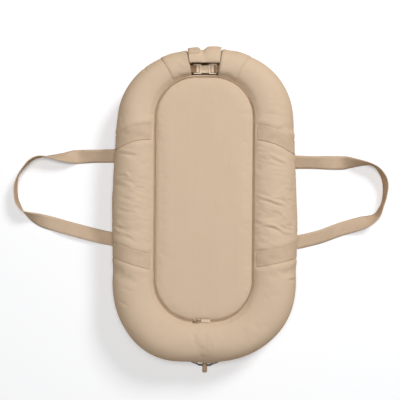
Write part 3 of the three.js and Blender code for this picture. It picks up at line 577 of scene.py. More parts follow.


# The coil's darker brown is painted shade of the deep groove between the pad and the ring.
coil_painted_shade_finish = moulded("zipper_coil_nylon_painted_shade", linear(160, 132, 102), 0.4)
painted_finish = moulded("painted_metal", linear(176, 148, 116), 0.35, metallic=0.35, coat=0.3)
# The cord lock's darker brown is partly its own tone and partly painted shade: it lies on the floor in
# the ring's shadow.
toggle_painted_shade_finish = moulded("cord_lock_plastic_painted_shade", linear(172, 142, 110), 0.42)
slider_finish = moulded("zipper_slider_metal", linear(128, 100, 70), 0.35, metallic=0.5, coat=0.3)
# The ladder locks' light tone is partly their own plastic and partly painted light, set against the
# shade under the flap.
lock_painted_light_finish = moulded("ladder_lock_plastic_painted_light", linear(222, 199, 171), 0.42)
# The cinch strap is coloured lighter than the same webbing elsewhere: painted light, since it lies in
# the flap's shadow.
cinch_painted_light_finish = ribbed("cinch_webbing_painted_light", linear(232, 208, 180), linear(208, 182, 152), 0.0013, 0.00018)
# The lock loops are coloured much darker than the same webbing elsewhere: painted shade of the window
# behind the flap.
loop_painted_shade_finish = ribbed("lock_loop_webbing_painted_shade", linear(150, 123, 95), linear(118, 93, 68), 0.0013, 0.00018)
steel_finish = moulded("spring_wire", (0.55, 0.55, 0.56), 0.28, metallic=1.0)
thread_finish = moulded("sewing_thread", linear(214, 190, 160), 0.75, grain=0.00005)
# The darker thread is painted shade: it stands for the thin shadow lines along the seams where it is
# sewn.
painted_shade_thread_finish = moulded("painted_shade_thread", linear(160, 130, 100), 0.75, grain=0.00005)


def dress(piece, finish, body, slot, *nodes):
    """Gives a piece its finish and its body, and hides the CAD nodes that it stands for. A piece that
    bends between two bodies rides on neither, so its body is None."""
    piece.data.materials.clear()
    piece.data.materials.append(finish.material)
    if body:
        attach(piece, body)
    if nodes:
        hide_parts(*nodes)
    return piece


def refinish(node, finish):
    """A CAD node whose shape is right keeps it, and gets a better finish."""
    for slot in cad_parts[node].material_slots:
        slot.material = finish.material


for word, (strand, _, _) in strands.items():
    dress(strand, shaded_cord_finish, "nest_body", "cord", f"drawcord_{word}")

# %% [markdown]
# ## The padded ring
#
# The ring is one long tube of cotton, stuffed with fibre and sewn to the zipper tape along its inner
# edge. Its cloth is cut larger than the shape it ends up in, so it puckers beside the seam and folds
# where the tube is squeezed. The way here: lay out a grid along the zipper line and round the section,
# let the Cloth simulation inflate it with a little spare cloth, hold each point near its place, then
# add the few large folds that the photograph shows. The grid keeps its own map, so the weave runs along
# the tube as the real cut does.

# %% A grid of points made into cloth
def grid_piece(name, rows, around=False, close_rows=False):
    """Cloth from rows of points, with a map in metres: u along the rows' order, v along each row."""
    rows = np.asarray(rows, float)
    count, width = rows.shape[:2]
    u, v = [], []
    for run_length_at, axis in ((u, 0), (v, 1)):
        steps = np.linalg.norm(np.roll(rows, -1, axis) - rows, axis=2).mean(1 - axis)
        run_length_at.extend([0, *np.cumsum(steps)])
    faces, maps = [], []
    for i in range(count if close_rows else count - 1):
        for k in range(width if around else width - 1):
            below, beside = (i + 1) % count, (k + 1) % width
            faces.append((i * width + k, i * width + beside, below * width + beside, below * width + k))
            maps.append(((u[i], v[k]), (u[i], v[k + 1]), (u[i + 1], v[k + 1]), (u[i + 1], v[k])))
    piece = new_piece(name, rows.reshape(-1, 3), faces)
    layer = piece.data.uv_layers.new(name="weave")
    layer.data.foreach_set("uv", np.array(maps).ravel())
    return piece


def read(items, what, width):
    """One property of all items at once, as rows of so many numbers."""
    flat = np.empty(len(items) * width)
    items.foreach_get(what, flat)
    return flat.reshape(-1, width)


def coordinates(mesh):
    return read(mesh.vertices, "co", 3)


def normals_of(piece):
    return read(piece.data.vertex_normals, "vector", 3)


def attribute(piece, name):
    return read(piece.data.attributes[name].data, "value", 1)[:, 0]


def set_coordinates(piece, points):
    piece.data.vertices.foreach_set("co", np.asarray(points, float).ravel())
    piece.data.update()


def tree_of(piece):
    """A piece's faces sorted by place, to look for the point where a line of sight meets them."""
    return BVHTree.FromPolygons(
        [Vector(p) for p in coordinates(piece.data)], [tuple(f.vertices) for f in piece.data.polygons])


def seen_from_outside(tree, place, way, stand_off, reach):
    """The point that is met looking back along way from outside, and how the surface faces there."""
    hit, normal, _, _ = tree.ray_cast(Vector(place + way * stand_off), Vector(-way), reach)
    if hit is None:
        return None, way
    normal = np.array(normal)
    return np.array(hit), normal if normal @ way > 0 else -normal


def only(piece):
    """Makes one piece the selected and active one, for the operators."""
    bpy.ops.object.select_all(action="DESELECT")
    piece.select_set(True)
    bpy.context.view_layer.objects.active = piece


def edit_all(piece, *steps):
    """Runs each step's operator on the whole piece in edit mode."""
    only(piece)
    bpy.ops.object.mode_set(mode="EDIT")
    bpy.ops.mesh.select_all(action="SELECT")
    for operator, settings in steps:
        operator(**settings)
    bpy.ops.object.mode_set(mode="OBJECT")


def finish_modifier(piece, kind, **settings):
    """Adds a modifier with these settings and applies it."""
    modifier = piece.modifiers.new(kind.lower(), kind)
    for key, value in settings.items():
        setattr(modifier, key, value)
    only(piece)
    bpy.ops.object.modifier_apply(modifier=modifier.name)


def subdivide(piece, levels=1):
    finish_modifier(piece, "SUBSURF", levels=levels, render_levels=levels)


def thicken(piece, thickness, offset=1.0):
    finish_modifier(piece, "SOLIDIFY", thickness=thickness, offset=offset, use_even_offset=True)


# %% Blowing up a piece of cloth
CANVAS = {"quality": 5, "mass": 0.2, "tension_stiffness": 20, "compression_stiffness": 20,
          "shear_stiffness": 8, "bending_stiffness": 0.08, "air_damping": 2, "use_pressure": True}
SWELL_FRAMES = 20


def inflate(piece, pinned, spare, pressure, most):
    """Cloth that swells and puckers: spare is its extra share, most how far a point may move."""
    start = coordinates(piece.data)
    group = piece.vertex_groups.new(name="sewn")
    group.add([int(i) for i in np.flatnonzero(pinned)], 1.0, "REPLACE")
    cloth = piece.modifiers.new("cloth", "CLOTH")
    for key, value in CANVAS.items():
        setattr(cloth.settings, key, value)
    cloth.settings.uniform_pressure_force = pressure
    cloth.settings.shrink_min = -spare
    cloth.settings.vertex_group_mass = group.name
    cloth.settings.effector_weights.gravity = 0
    for step in range(1, SWELL_FRAMES + 1):
        scene.frame_set(step)
    only(piece)
    bpy.ops.object.modifier_apply(modifier=cloth.name)
    piece.vertex_groups.clear()
    scene.frame_set(1)
    moved = coordinates(piece.data) - start
    far = np.linalg.norm(moved, axis=1)
    held = np.minimum(1, most / np.maximum(far, 1e-9))
    set_coordinates(piece, start + moved * held[:, None])
    mean, furthest = far.mean() * 1000, far.max() * 1000
    print(f"{piece.name}: cloth moved {mean:.1f} mm on average, {furthest:.1f} at most")


# %% The ring's grid
def ramp(value, low, high):
    """0 below low, 1 above high, and a smooth step between."""
    t = np.clip((value - low) / (high - low), 0, 1)
    return t * t * (3 - 2 * t)


def between(value, rise, fall):
    """0, then 1 from the end of the rise to the start of the fall, then 0 again."""
    return ramp(value, *rise) * (1 - ramp(value, *fall))


RING_STEP = 0.0056
LOOP_POINTS = 72
LOOP_END_ANGLE = -192
LOOP_STEPS = 160
OUTER_POWER = 2.1
INNER_POWER_RIGHT = 2.9
SEAM_EDGE = 0.0034
SEAM_DIP = 0.0055
SEAM_TUCK = [[0.001, 0.082], [0.0045, 0.09], [0.0048, 0.096]]
RING_SLACK = 0.0025
# Shares of the run between which the right side is steeper toward the pad.
STEEP_RISE, STEEP_FALL = (0.1, 0.2), (0.75, 0.9)


def angle_across(run, across):
    """The angle at which the ring's upper side lies so far out from the zipper line."""
    half_width, _, middle = ring_section(run)
    cosine = (across - middle) / half_width
    return math.degrees(math.acos(math.copysign(abs(cosine) ** (SECTION_POWER / 2), cosine)))


def spaced(line, count):
    """So many points at equal spacing along a line, its last point left out."""
    steps = walked(line)
    wanted = np.linspace(0, steps[-1], count + 1)[:-1]
    return np.column_stack([np.interp(wanted, steps, line[:, k]) for k in range(line.shape[1])])


def ring_loop(run):
    """The ring's section at one place: out from the zipper, over the crown, round and back. It starts a
    little too small, because the filling swells it."""
    half_width, half_height, middle = ring_section(run)
    turn = np.radians(np.linspace(angle_across(run, SEAM_EDGE), LOOP_END_ANGLE, LOOP_STEPS))
    cosine, sine = np.cos(turn), np.sin(turn)
    slack = RING_SLACK * ramp(turn, math.radians(140), math.radians(100))
    steep = between(run / HALF_RUN, STEEP_RISE, STEEP_FALL)
    inner = SECTION_POWER + (INNER_POWER_RIGHT - SECTION_POWER) * steep
    power = 2 / np.where(sine > 0, np.where(cosine > 0, OUTER_POWER, inner), SECTION_POWER)
    across = middle + (half_width - slack) * np.sign(cosine) * np.abs(cosine) ** power
    height = RING_MIDDLE + (half_height - slack) * np.sign(sine) * np.abs(sine) ** power
    near_seam = (1 - ramp(across, SEAM_EDGE, SEAM_EDGE + 0.012)) * (turn > 1.5)
    outline = np.column_stack([across, np.maximum(height - SEAM_DIP * near_seam, 0.0004)])
    closed = np.vstack([outline, SEAM_TUCK, outline[:1]])
    place, out = seam_place(run)
    return [in_space(place, out, a, h) for a, h in spaced(closed, LOOP_POINTS)]


def ring_runs():
    """Places along the zipper line from the left tube end round the foot to the right one, so spaced
    that the grid is about even in the middle of the tube."""
    left = -np.linspace(TUBE_ENDS["left"], HALF_RUN, 2000)
    runs = np.concatenate([left, np.linspace(HALF_RUN, TUBE_ENDS["right"], 2000)[1:]])
    lengths = walked([in_space(*seam_place(run), ring_section(run)[2], 0) for run in runs])
    wanted = np.linspace(0, lengths[-1], int(lengths[-1] / RING_STEP) + 1)
    nearest = np.searchsorted(lengths, wanted).clip(0, len(runs) - 1)
    return runs[nearest], wanted


runs, travelled = ring_runs()
ring = grid_piece("ring_padding", [ring_loop(run) for run in runs], around=True)
row = np.repeat(np.arange(len(runs)), LOOP_POINTS)
column = np.tile(np.arange(LOOP_POINTS), len(runs))
print(f"ring grid: {len(runs)} by {LOOP_POINTS}, {travelled[-1]:.2f} m long in the middle of the tube")

# %% Filling the tube
RING_SPARE = 0.012
RING_PRESSURE = 4
RING_SWELL = 0.0045
TUCKED_POINTS = 7

pinned = (column >= LOOP_POINTS - TUCKED_POINTS) | (column == 0) | (row == 0) | (row == len(runs) - 1)
for name, values in (("travel", travelled[row]), ("girth", column / LOOP_POINTS), ("run", runs[row])):
    layer = ring.data.attributes.new(name, "FLOAT", "POINT")
    layer.data.foreach_set("value", values)
inflate(ring, pinned, RING_SPARE, RING_PRESSURE, RING_SWELL)
subdivide(ring)


def crease(points, line, width):
    """How near each point lies to a fold's line in plan: its cross distance in widths, and its fade at
    the fold's two ends."""
    best = np.full(len(points), 1e9)
    share = np.zeros(len(points))
    lengths = walked(line)
    for k in range(len(line) - 1):
        way = line[k + 1] - line[k]
        t = np.clip(((points - line[k]) @ way) / (way @ way), 0, 1)
        offset = points - (line[k] + t[:, None] * way)
        far = np.linalg.norm(offset, axis=1)
        signed = np.where(way[0] * offset[:, 1] - way[1] * offset[:, 0] < 0, -far, far)
        closer = far < np.abs(best)
        best = np.where(closer, signed, best)
        share = np.where(closer, (lengths[k] + t * lengths[k + 1] - t * lengths[k]) / lengths[-1], share)
    fade = np.sin(np.pi * np.clip(share, 0.0, 1.0)) ** 0.6
    return best / width, fade

# %% [markdown]
# ## Folds that belong to this nest
#
# A simulation gives puckers of the right kind but not in the right place. The large folds were read off
# the photograph as lines in plan, in millimetres, each with a height and a half width: below zero is a
# valley, above zero a ridge. Smaller creases come from noise that is long across the tube and short
# along it, since a squeezed tube buckles that way. Bands pull the cloth in where they cross it.

# %% Large folds, in millimetres: height, half width, line in plan
FOLDS = [
    (-3.9, 2.8, [(180, 127), (198, 120), (220, 112)]),
    (3.2, 4, [(175, 142), (198, 130), (217, 121), (235, 109)]),
    (-1.6, 3.2, [(167, 112), (199, 107), (229, 102)]),
    (-1.3, 3.2, [(187, 94), (207, 92), (229, 92)]),
    (-1.6, 3.2, [(186, 84), (202, 83), (218, 84)]),
    (-2, 4, [(182, 38), (195, 33), (206, 30)]),
    (4.5, 3.6, [(150, 29), (171, 24), (188, 18), (212, 9), (230, 7)]),
    (-3.2, 3.2, [(154, 20), (186, 11), (200, 5), (222, 4)]),
    (-4.5, 2.8, [(186, 19), (210, 20), (220, 14), (237, 3)]),
    (3.2, 3.6, [(207, 56), (217, 32), (232, 15), (249, -1)]),
    (-3.2, 2.8, [(227, 18), (240, 18), (251, 12)]),
    (-1.7, 4, [(153, -33), (176, -31), (196, -27)]),
    (-2.3, 3.6, [(186, -16), (204, -16), (218, -26)]),
    (2.3, 3.6, [(207, -10), (224, -27), (231, -36)]),
    (-4.5, 3.2, [(160, -55), (179, -54), (194, -56), (208, -64), (222, -73)]),
    (4.2, 4, [(163, -46), (193, -48), (211, -57), (224, -65), (245, -68)]),
    (-4.2, 2.8, [(208, -48), (224, -57), (234, -60), (254, -63)]),
    (-2, 2.4, [(222, -48), (242, -49), (252, -51)]),
    (-3.9, 2.4, [(234, -194), (245, -193), (258, -194)]),
    (2.6, 3.2, [(234, -184), (247, -185), (258, -185)]),
    (-2, 3.2, [(165, -132), (191, -135), (223, -132)]),
    (-2.9, 3.2, [(-220, 134), (-197, 129), (-168, 127)]),
    (2.3, 3.6, [(-219, 143), (-195, 139), (-169, 136)]),
    (2.9, 3.2, [(-201, 82), (-194, 78), (-185, 70)]),
    (-2.9, 2.8, [(-220, 74), (-209, 74), (-196, 75)]),
    (-2.3, 3.2, [(-210, 66), (-188, 59), (-168, 50)]),
    (-1.6, 2.8, [(-194, 86), (-185, 83), (-176, 81)]),
    (-2, 3.6, [(-223, -64), (-207, -66), (-191, -71)]),
    (-1.8, 3.2, [(-199, -86), (-186, -90), (-169, -97)]),
    (1.8, 3.2, [(-199, -76), (-186, -80), (-167, -86)]),
    (-1.8, 3.2, [(-206, -221), (-190, -224), (-173, -229)]),
    (-2.1, 3.2, [(-212, -254), (-200, -260), (-183, -268)]),
    (-3.2, 2.4, [(-192, -327), (-181, -334), (-170, -341)]),
    (-1.6, 4, [(-217, 18), (-195, 14), (-159, 14)]),
    (-1.3, 4, [(-221, -16), (-195, -21), (-163, -22)]),
    (-2.1, 3.2, [(-163, 368), (-155, 358), (-145, 342)]),
    (-1.7, 5.6, [(20, -325), (21, -358), (22, -392)]),
    (1, 6.4, [(38, -334), (42, -363), (40, -389)]),
    (0.8, 6.4, [(-2, -337), (-1, -364), (2, -390)]),
    (-1.6, 4, [(157, 246), (194, 242), (231, 235)]),
    (-1.3, 4, [(167, 270), (193, 265), (225, 253)]),
]
# Each anchor band: side, y where it meets the ring's outer side, how far it runs along the ring from
# there to the zipper, and how much of that happens near the outer side.
ANCHORS = {
    "upper_left": (-1, 0.148, 0.026, 1.0),
    "lower_left": (-1, -0.137, -0.031, 0.1),
    "upper_right": (1, 0.139, 0.0365, 0.6),
    "lower_right": (1, -0.137, -0.0215, 0.2),
}
ANCHOR_START = 0.008
WEBBING_WIDTH = 0.038
WEBBING_THICKNESS = 0.0018
# Heights over the floor between which the upper side begins, and the lower side ends.
UPPER_RISE, LOWER_FALL = (0.045, 0.07), (0.02, 0.05)
# Shares of the run between which the cloth is busy with creases, and shares of the girth between which
# it is free of the seam.
BUSY_RISE, BUSY_FALL = (0.24, 0.3), (0.66, 0.76)
FREE_RISE, FREE_FALL = (0.0, 0.05), (0.84, 0.9)
# Each noise: its grain along the tube and round it, and its seed.
SMALL_NOISE, SMALLER_NOISE = (0.024, 0.2, 4), (0.011, 0.1, 5)
PATCHY_NOISE, LARGE_NOISE = (0.2, 0.3, 6), (0.2, 0.5, 7)
WRINKLE_NOISE, CREASED_NOISE = (0.014, 0.17, 9), (0.09, 0.2, 10)
PUCKER_NOISE = (0.012, 0.5, 8)
SMALL_HEIGHT, PATCHY_HEIGHT = 0.0001, 0.0007
LARGE_HEIGHT, LOWER_HEIGHT = 0.0009, 0.0012
WRINKLE_HEIGHT = 0.0016
WRINKLE_LEAN = 0.12
WRINKLE_VALLEY = 0.35
PUCKER_HEIGHT, PUCKER_PLACE, PUCKER_WIDTH = 0.00045, 0.03, 0.02
FOOT_BULGE = 0.0095
FOOT_BULGE_REACH = 0.047
# The bulge at the foot: from which distance below the middle, and between which heights.
FOOT_FROM, FOOT_RISE, FOOT_FALL = (0.38, 0.41), (0.012, 0.028), (0.06, 0.1)
# What an anchor band does: it smooths the cloth under it, presses a groove and bulges the cloth beside.
BAND_SMOOTHS = 0.7
BAND_GROOVE = 0.0022
GROOVE_SPREAD = 1.03
GROOVE_EDGE = (-0.001, 0.006)
BAND_BULGE, BULGE_PLACE, BULGE_WIDTH = 0.0012, 0.012, 0.008


# %% Moving the ring's cloth into its folds
def run_at(side, y):
    """The run along the zipper line at one y of its straight side."""
    return side * (HEAD_FLAT + CORNER_RUN + SEAM_LENGTH / 2 - SEAM_CORNER - y)


def far_out(side, y, angle=0):
    """How far out from the panel's middle the ring's cloth lies, at one y and angle."""
    return abs(on_section(run_at(side, y), angle)[0] - PANEL_MIDDLE[0])


def anchor_middle(far_x, side, edge_y, rise, bend):
    """An anchor band's middle line: its y from the panel's middle, so far out from that middle."""
    edge_x = far_out(side, edge_y)
    share = np.clip((edge_x - far_x) / (edge_x - SEAM_WIDTH / 2 - ANCHOR_START), 0, 1)
    return edge_y + rise * ((1 - bend) * share + bend * (1 - (1 - share) ** 2))


def noise_field(first, second, first_size, second_size, seed):
    """Smooth noise over two run lengths, with its own grain each way."""
    cells, counts = [], []
    for lengths, size in ((first, first_size), (second, second_size)):
        whole = np.floor(lengths / size * 2).astype(int)
        cells.append(lengths / size * 2 - whole.min())
        counts.append(whole.max() - whole.min() + 3)
    table = np.random.default_rng(seed).uniform(-1, 1, counts)
    i, k = (np.floor(cell).astype(int) for cell in cells)
    s, t = ramp(cells[0] - i, 0, 1), ramp(cells[1] - k, 0, 1)
    low = table[i, k] * (1 - s) + table[i + 1, k] * s
    high = table[i, k + 1] * (1 - s) + table[i + 1, k + 1] * s
    return low * (1 - t) + high * t


def crumple(piece):
    """Moves the cloth along its own outward ways: folds, wrinkles, puckers, and what the bands press."""
    points = coordinates(piece.data)
    faces_out = normals_of(piece)
    travel, girth, run = (attribute(piece, name) for name in ("travel", "girth", "run"))
    upper = ramp(points[:, 2], *UPPER_RISE)
    shift = np.zeros(len(points))
    for height, width, line in FOLDS:
        line = np.array(line) / 1000
        line += RING_TURN * (line - PANEL_MIDDLE)[:, ::-1] * [-1, 1]
        across, fade = crease(points[:, :2], line, width / 1000)
        form = np.exp(-np.abs(across) ** 1.5) - 0.3 * np.exp(-(across / 2.2) ** 2)
        shift += height / 1000 * upper * fade * form

    share = np.abs(run) / HALF_RUN
    busy = between(share, BUSY_RISE, BUSY_FALL)
    free = between(girth, FREE_RISE, FREE_FALL)
    small = noise_field(travel, girth, *SMALL_NOISE) * 0.6
    small += noise_field(travel, girth, *SMALLER_NOISE) * 0.3
    patchy = ramp(noise_field(travel, girth, *PATCHY_NOISE), -0.2, 0.8)
    large = noise_field(travel, girth, *LARGE_NOISE)
    lower = 1 - ramp(points[:, 2], *LOWER_FALL)
    height = SMALL_HEIGHT + PATCHY_HEIGHT * patchy
    shift += free * (small * height * (0.3 + 0.7 * busy) + large * LARGE_HEIGHT)
    shift += free * lower * small * LOWER_HEIGHT
    leaning = travel + girth * WRINKLE_LEAN
    wrinkle = np.abs(noise_field(leaning, girth, *WRINKLE_NOISE)) - WRINKLE_VALLEY
    creased = ramp(noise_field(travel, girth, *CREASED_NOISE), -0.4, 0.3)
    shift += free * busy * creased * wrinkle * WRINKLE_HEIGHT
    near_seam = np.exp(-((girth - PUCKER_PLACE) / PUCKER_WIDTH) ** 2)
    pucker = near_seam * noise_field(travel, girth, *PUCKER_NOISE)
    shift += pucker * PUCKER_HEIGHT

    # The cloth stands out between the two eyelets, over the drawcord.
    centre = CORD_LOCK_MOUTH[0]
    tip = np.clip(1 - np.abs(points[:, 0] - centre) / FOOT_BULGE_REACH, 0, 1)
    tip = tip * (1 - 0.25 * tip)
    foot = tip * ramp(-points[:, 1], *FOOT_FROM)
    foot = foot * ramp(points[:, 2], *FOOT_RISE) * (1 - ramp(points[:, 2], *FOOT_FALL))
    points[:, 1] -= foot * FOOT_BULGE

    for side, edge_y, rise, bend in ANCHORS.values():
        far_x = side * (points[:, 0] - PANEL_MIDDLE[0])
        here = far_x > SEAM_WIDTH / 2 - 0.02
        off = np.abs(points[:, 1] - PANEL_MIDDLE[1] - anchor_middle(far_x, side, edge_y, rise, bend))
        half = WEBBING_WIDTH / 2 * GROOVE_SPREAD
        pressed = 1 - ramp(off, half + GROOVE_EDGE[0], half + GROOVE_EDGE[1])
        bulge = np.exp(-((off - half - BULGE_PLACE) / BULGE_WIDTH) ** 2)
        under = here * upper * ramp(girth, 0.01, 0.04)
        shift = np.where(here, shift * (1 - BAND_SMOOTHS * pressed * upper), shift)
        shift += under * (bulge * BAND_BULGE - pressed * BAND_GROOVE)
    points += faces_out * shift[:, None]
    points[:, 2] = np.maximum(points[:, 2], 0.0004)
    set_coordinates(piece, points)


crumple(ring)
dress(ring, cloth_finish, "nest_body", "cloth", "ring_cover", "ring_filling")
ring_tree = tree_of(ring)
low, high = (np.round(extreme(coordinates(ring.data), axis=0), 3) for extreme in (np.min, np.max))
print("ring:", len(ring.data.polygons), "faces, box", low, high)

# %% [markdown]
# ## Straps that hug the ring
#
# The anchor bands and the wide bands at the head are flat strips sewn on the padded tube, so they take
# their shape from it. Each point of a strip starts in the middle of the tube's section and looks
# outward; where that look meets the ring's cloth, the strip lies on it, a hair above. The strip gets its
# thickness last.

# %% Looking outward from the tube's middle
def on_cloth(run, angle, lift):
    """The point on the ring's final cloth that lies in one direction from the tube's middle."""
    middle = ring_section(run)[2]
    centre = in_space(*seam_place(run), middle, RING_MIDDLE)
    wanted = on_section(run, angle)
    way = wanted - centre
    way /= np.linalg.norm(way)
    hit, normal = seen_from_outside(ring_tree, wanted, way, 0.03, 0.09)
    if hit is None:
        return wanted + way * lift
    return hit + (0.5 * normal + 0.5 * way) * lift


def soften(rows, times=1):
    """Evens out a strip's rows a little along its length, with its two ends kept."""
    rows = np.array(rows)
    for _ in range(times):
        rows[1:-1] = rows[1:-1] * 0.5 + (rows[:-2] + rows[2:]) * 0.25
    return rows


def strip_on_cloth(name, rows, thickness, softness=2):
    """A flat strip of webbing or cloth on the ring, from rows of points, with its thickness outward."""
    rows = soften(rows, softness)
    strip = grid_piece(name, rows)
    subdivide(strip)
    outward = coordinates(strip.data).mean(axis=0) - [*PANEL_MIDDLE, RING_MIDDLE / 2]
    if normals_of(strip).mean(axis=0) @ outward < 0:
        edit_all(strip, (bpy.ops.mesh.flip_normals, {}))
    thicken(strip, thickness)
    return strip, rows


BAND_ROWS = 44
BAND_COLUMNS = 13
BAND_LIFT = 0.0005
BAND_END_ANGLE = -2
# A band spreads a little, and lies pressed to less than the webbing's full thickness.
BAND_SPREAD = 1.02
BAND_PRESSED = 0.8
anchor_rows = {}
for word, (side, edge_y, rise, bend) in ANCHORS.items():
    first = angle_across(run_at(side, edge_y), ANCHOR_START)
    half = WEBBING_WIDTH / 2 * BAND_SPREAD
    rows = []
    for angle in np.linspace(first, BAND_END_ANGLE, BAND_ROWS):
        middle_y = float(anchor_middle(far_out(side, edge_y, angle), side, edge_y, rise, bend))
        rows.append([on_cloth(run_at(side, middle_y + offset), angle, BAND_LIFT)
                     for offset in np.linspace(-half, half, BAND_COLUMNS)])
    band, rows = strip_on_cloth(f"anchor_strap_{word}", rows, WEBBING_THICKNESS * BAND_PRESSED)
    anchor_rows[word] = rows
    dress(band, webbing_finish, "nest_body", "webbing", f"anchor_band_{word}")
    print(word, "anchor:", round(run_length(rows[:, BAND_COLUMNS // 2]) * 1000), "mm long")

# %% [markdown]
# ## Carry handles
#
# Each handle is one length of the same webbing. It leaves the ring at its fullest point, drops to the
# floor, runs flat, and then turns up on its edge to go round the bend, because flat webbing can't turn a
# corner on the flat. So the strip needs a roll as well as a route. The route is a table of shares: how
# far out, how far along between the two anchors, how high, and the roll in degrees.

# %% Routes of the handles
HANDLE_REACH = {"left": 0.521, "right": 0.501}
HANDLE_ANCHORS = {"left": (0.148, -0.137), "right": (0.139, -0.137)}
# From the ring's side down to the floor, the same for all four ends: how far out, how high.
HANDLE_DROP = [(0.004, 0.8), (0.003, 0.55), (-0.004, 0.32), (-0.022, 0.12), (-0.02, 0.02)]
# How far along, for each of those places: at the upper end, and at the lower end.
DROP_PLACES = {
    "left": ([0.965, 0.925, 0.885, 0.845, 0.805], [-0.97, -0.935, -0.9, -0.875, -0.855]),
    "right": ([0.955, 0.905, 0.855, 0.8, 0.76], [-0.975, -0.945, -0.92, -0.9, -0.885]),
}
# Along the floor, from the upper end to the lower one: how far out, how far along, roll.
HANDLE_ROUTES = {
    "left": [
        (0.03, 0.787, -12), (0.15, 0.775, -22), (0.27, 0.766, -22), (0.413, 0.752, 5), (0.535, 0.74, 50),
        (0.737, 0.744, 90), (0.838, 0.682, 90), (0.913, 0.543, 84), (0.975, 0.366, 80), (1, 0.152, 88),
        (0.992, -0.08, 90), (0.965, -0.215, 90), (0.908, -0.358, 75), (0.758, -0.496, 25),
        (0.584, -0.592, -5), (0.254, -0.75, -12), (0.1, -0.815, -6), (0.03, -0.838, 0),
    ],
    "right": [
        (0.03, 0.748, 16), (0.15, 0.745, 26), (0.285, 0.746, 24), (0.506, 0.749, 5), (0.655, 0.75, 50),
        (0.859, 0.72, 90), (0.955, 0.567, 86), (1, 0.352, 82), (0.993, 0.092, 88), (0.962, -0.109, 90),
        (0.893, -0.323, 70), (0.729, -0.463, 25), (0.5, -0.604, -5), (0.302, -0.743, -10),
        (0.12, -0.835, -6), (0.03, -0.872, 0),
    ],
}
HANDLE_LIFT = 0.0005
FLOOR_GAP = 0.0002
ROLL_LIMITS = (-25, 92)
# The webbing faces straight out from the ring above this share of the height, and this near the ring.
TIED_RISE, TIED_FALL = (0, 0.12), (0.02, 0.07)


# %% Handles
def handle_table(word, side):
    """The handle's route: how far out, y, share of the hinge's height and roll of each of its points."""
    upper, lower = HANDLE_ANCHORS[word]
    middle, span = (upper + lower) / 2, (upper - lower) / 2
    lift = HANDLE_LIFT + WEBBING_THICKNESS / 2
    upper_edge, lower_edge = far_out(side, upper) + lift, far_out(side, lower) + lift
    down, up = ([(out, along, high, 0) for (out, high), along in zip(HANDLE_DROP, places)]
                for places in DROP_PLACES[word])
    floor_part = [(out, along, 0, roll) for out, along, roll in HANDLE_ROUTES[word]]
    table = [[upper_edge, upper, 0.995, 0]]
    for out, along, high, roll in down + floor_part + up[::-1]:
        edge = upper_edge if along > 0 else lower_edge
        table.append([edge + (HANDLE_REACH[word] - edge) * out, middle + along * span, high, roll])
    return np.array(table + [[lower_edge, lower, 0.995, 0]])


def handle_rows(word, side, columns=7, steps=5):
    """Rows of points across the webbing, all along the handle, and the line through their middles."""
    table = handle_table(word, side)
    line = smooth_line(table, steps)
    sway = RING_TURN * np.maximum(0, line[:, 0] - table[0][0]) * side
    plan = np.column_stack([PANEL_MIDDLE[0] + side * line[:, 0], PANEL_MIDDLE[1] + line[:, 1] + sway])
    heading = np.gradient(plan, axis=0)
    up_share = np.clip(line[:, 2], 0, 1)
    outward = np.where(np.arange(len(line)) < len(line) / 2, side, -side)[:, None] * [1.0, 0.0]
    heading /= np.linalg.norm(heading, axis=1)[:, None]
    beside = (line[:, 0] - table[0][0]) / (HANDLE_REACH[word] - table[0][0])
    tied = np.maximum(ramp(up_share, *TIED_RISE), 1 - ramp(beside, *TIED_FALL))[:, None]
    heading = heading * (1 - tied) + outward * tied
    heading /= np.linalg.norm(heading, axis=1)[:, None]
    roll = np.radians(np.clip(line[:, 3], *ROLL_LIMITS))
    across = np.column_stack([-heading[:, 1] * np.cos(roll), heading[:, 0] * np.cos(roll), np.sin(roll)])
    rest = np.abs(np.sin(roll)) * WEBBING_WIDTH / 2 + np.cos(roll) * WEBBING_THICKNESS / 2 + FLOOR_GAP
    middles = np.column_stack([plan, rest + up_share * (RING_MIDDLE - rest)])
    shares = np.linspace(-0.5, 0.5, columns)
    rows = [[m + a * WEBBING_WIDTH * s for s in shares] for m, a in zip(middles, across)]
    return np.array(rows), middles


for word, side in SIDES.items():
    rows, middles = handle_rows(word, side)
    handle = grid_piece(f"carry_handle_{word}", rows)
    thicken(handle, WEBBING_THICKNESS, 0)
    dress(handle, webbing_finish, None, "webbing", f"handle_{word}")
    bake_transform(handle)
    print(f"handle {word}: {run_length(middles):.3f} m of webbing")

# %% [markdown]
# ## Base pad
#
# The base is a flat pad in its own cloth, zipped into the ring. Its top is cloth pulled smooth over the
# mattress, with a soft round border that dips to the zipper. Its grid runs from the border to a middle
# line, so the border keeps an even roundness all the way round.

# %% The pad's grid
PAD_BORDER = 0.0028
PAD_EDGE_HEIGHT = 0.1000
# How far in from the border, and how much higher than the edge.
PAD_PROFILE = np.array([
    [0, 0], [0.0012, 0.0016], [0.003, 0.003], [0.006, 0.0044], [0.012, 0.0056], [0.022, 0.0064],
    [0.034, 0.0068],
])
# Below the edge: how far in, and how high.
PAD_SIDE = ((0.0098, 0.0785), (0.0092, 0.083), (0.0075, 0.09), (0.0045, 0.096), (0.0032, 0.0985))
PAD_DEPTHS = [0, 0.0012, 0.003, 0.006, 0.011, 0.017, 0.024, *np.linspace(0.035, 0.13, 19)]
PAD_AROUND = 360
PAD_SPARE, PAD_PRESSURE, PAD_SWELL = 0.004, 1.2, 0.0012
# Each noise: its grain in x and in y and its seed, and how high it stands.
SWELL_NOISE, SWELL_HEIGHT = (0.09, 0.16, 11), 0.0005
CREASE_NOISE, CREASE_HEIGHT = (0.016, 0.2, 12), 0.00012
BORDER_NOISE, BORDER_HEIGHT, BORDER_WIDTH = (0.05, 0.009, 14), 0.0004, 0.012
STRAIGHT_IN = 0.03
MERGE = 0.0001


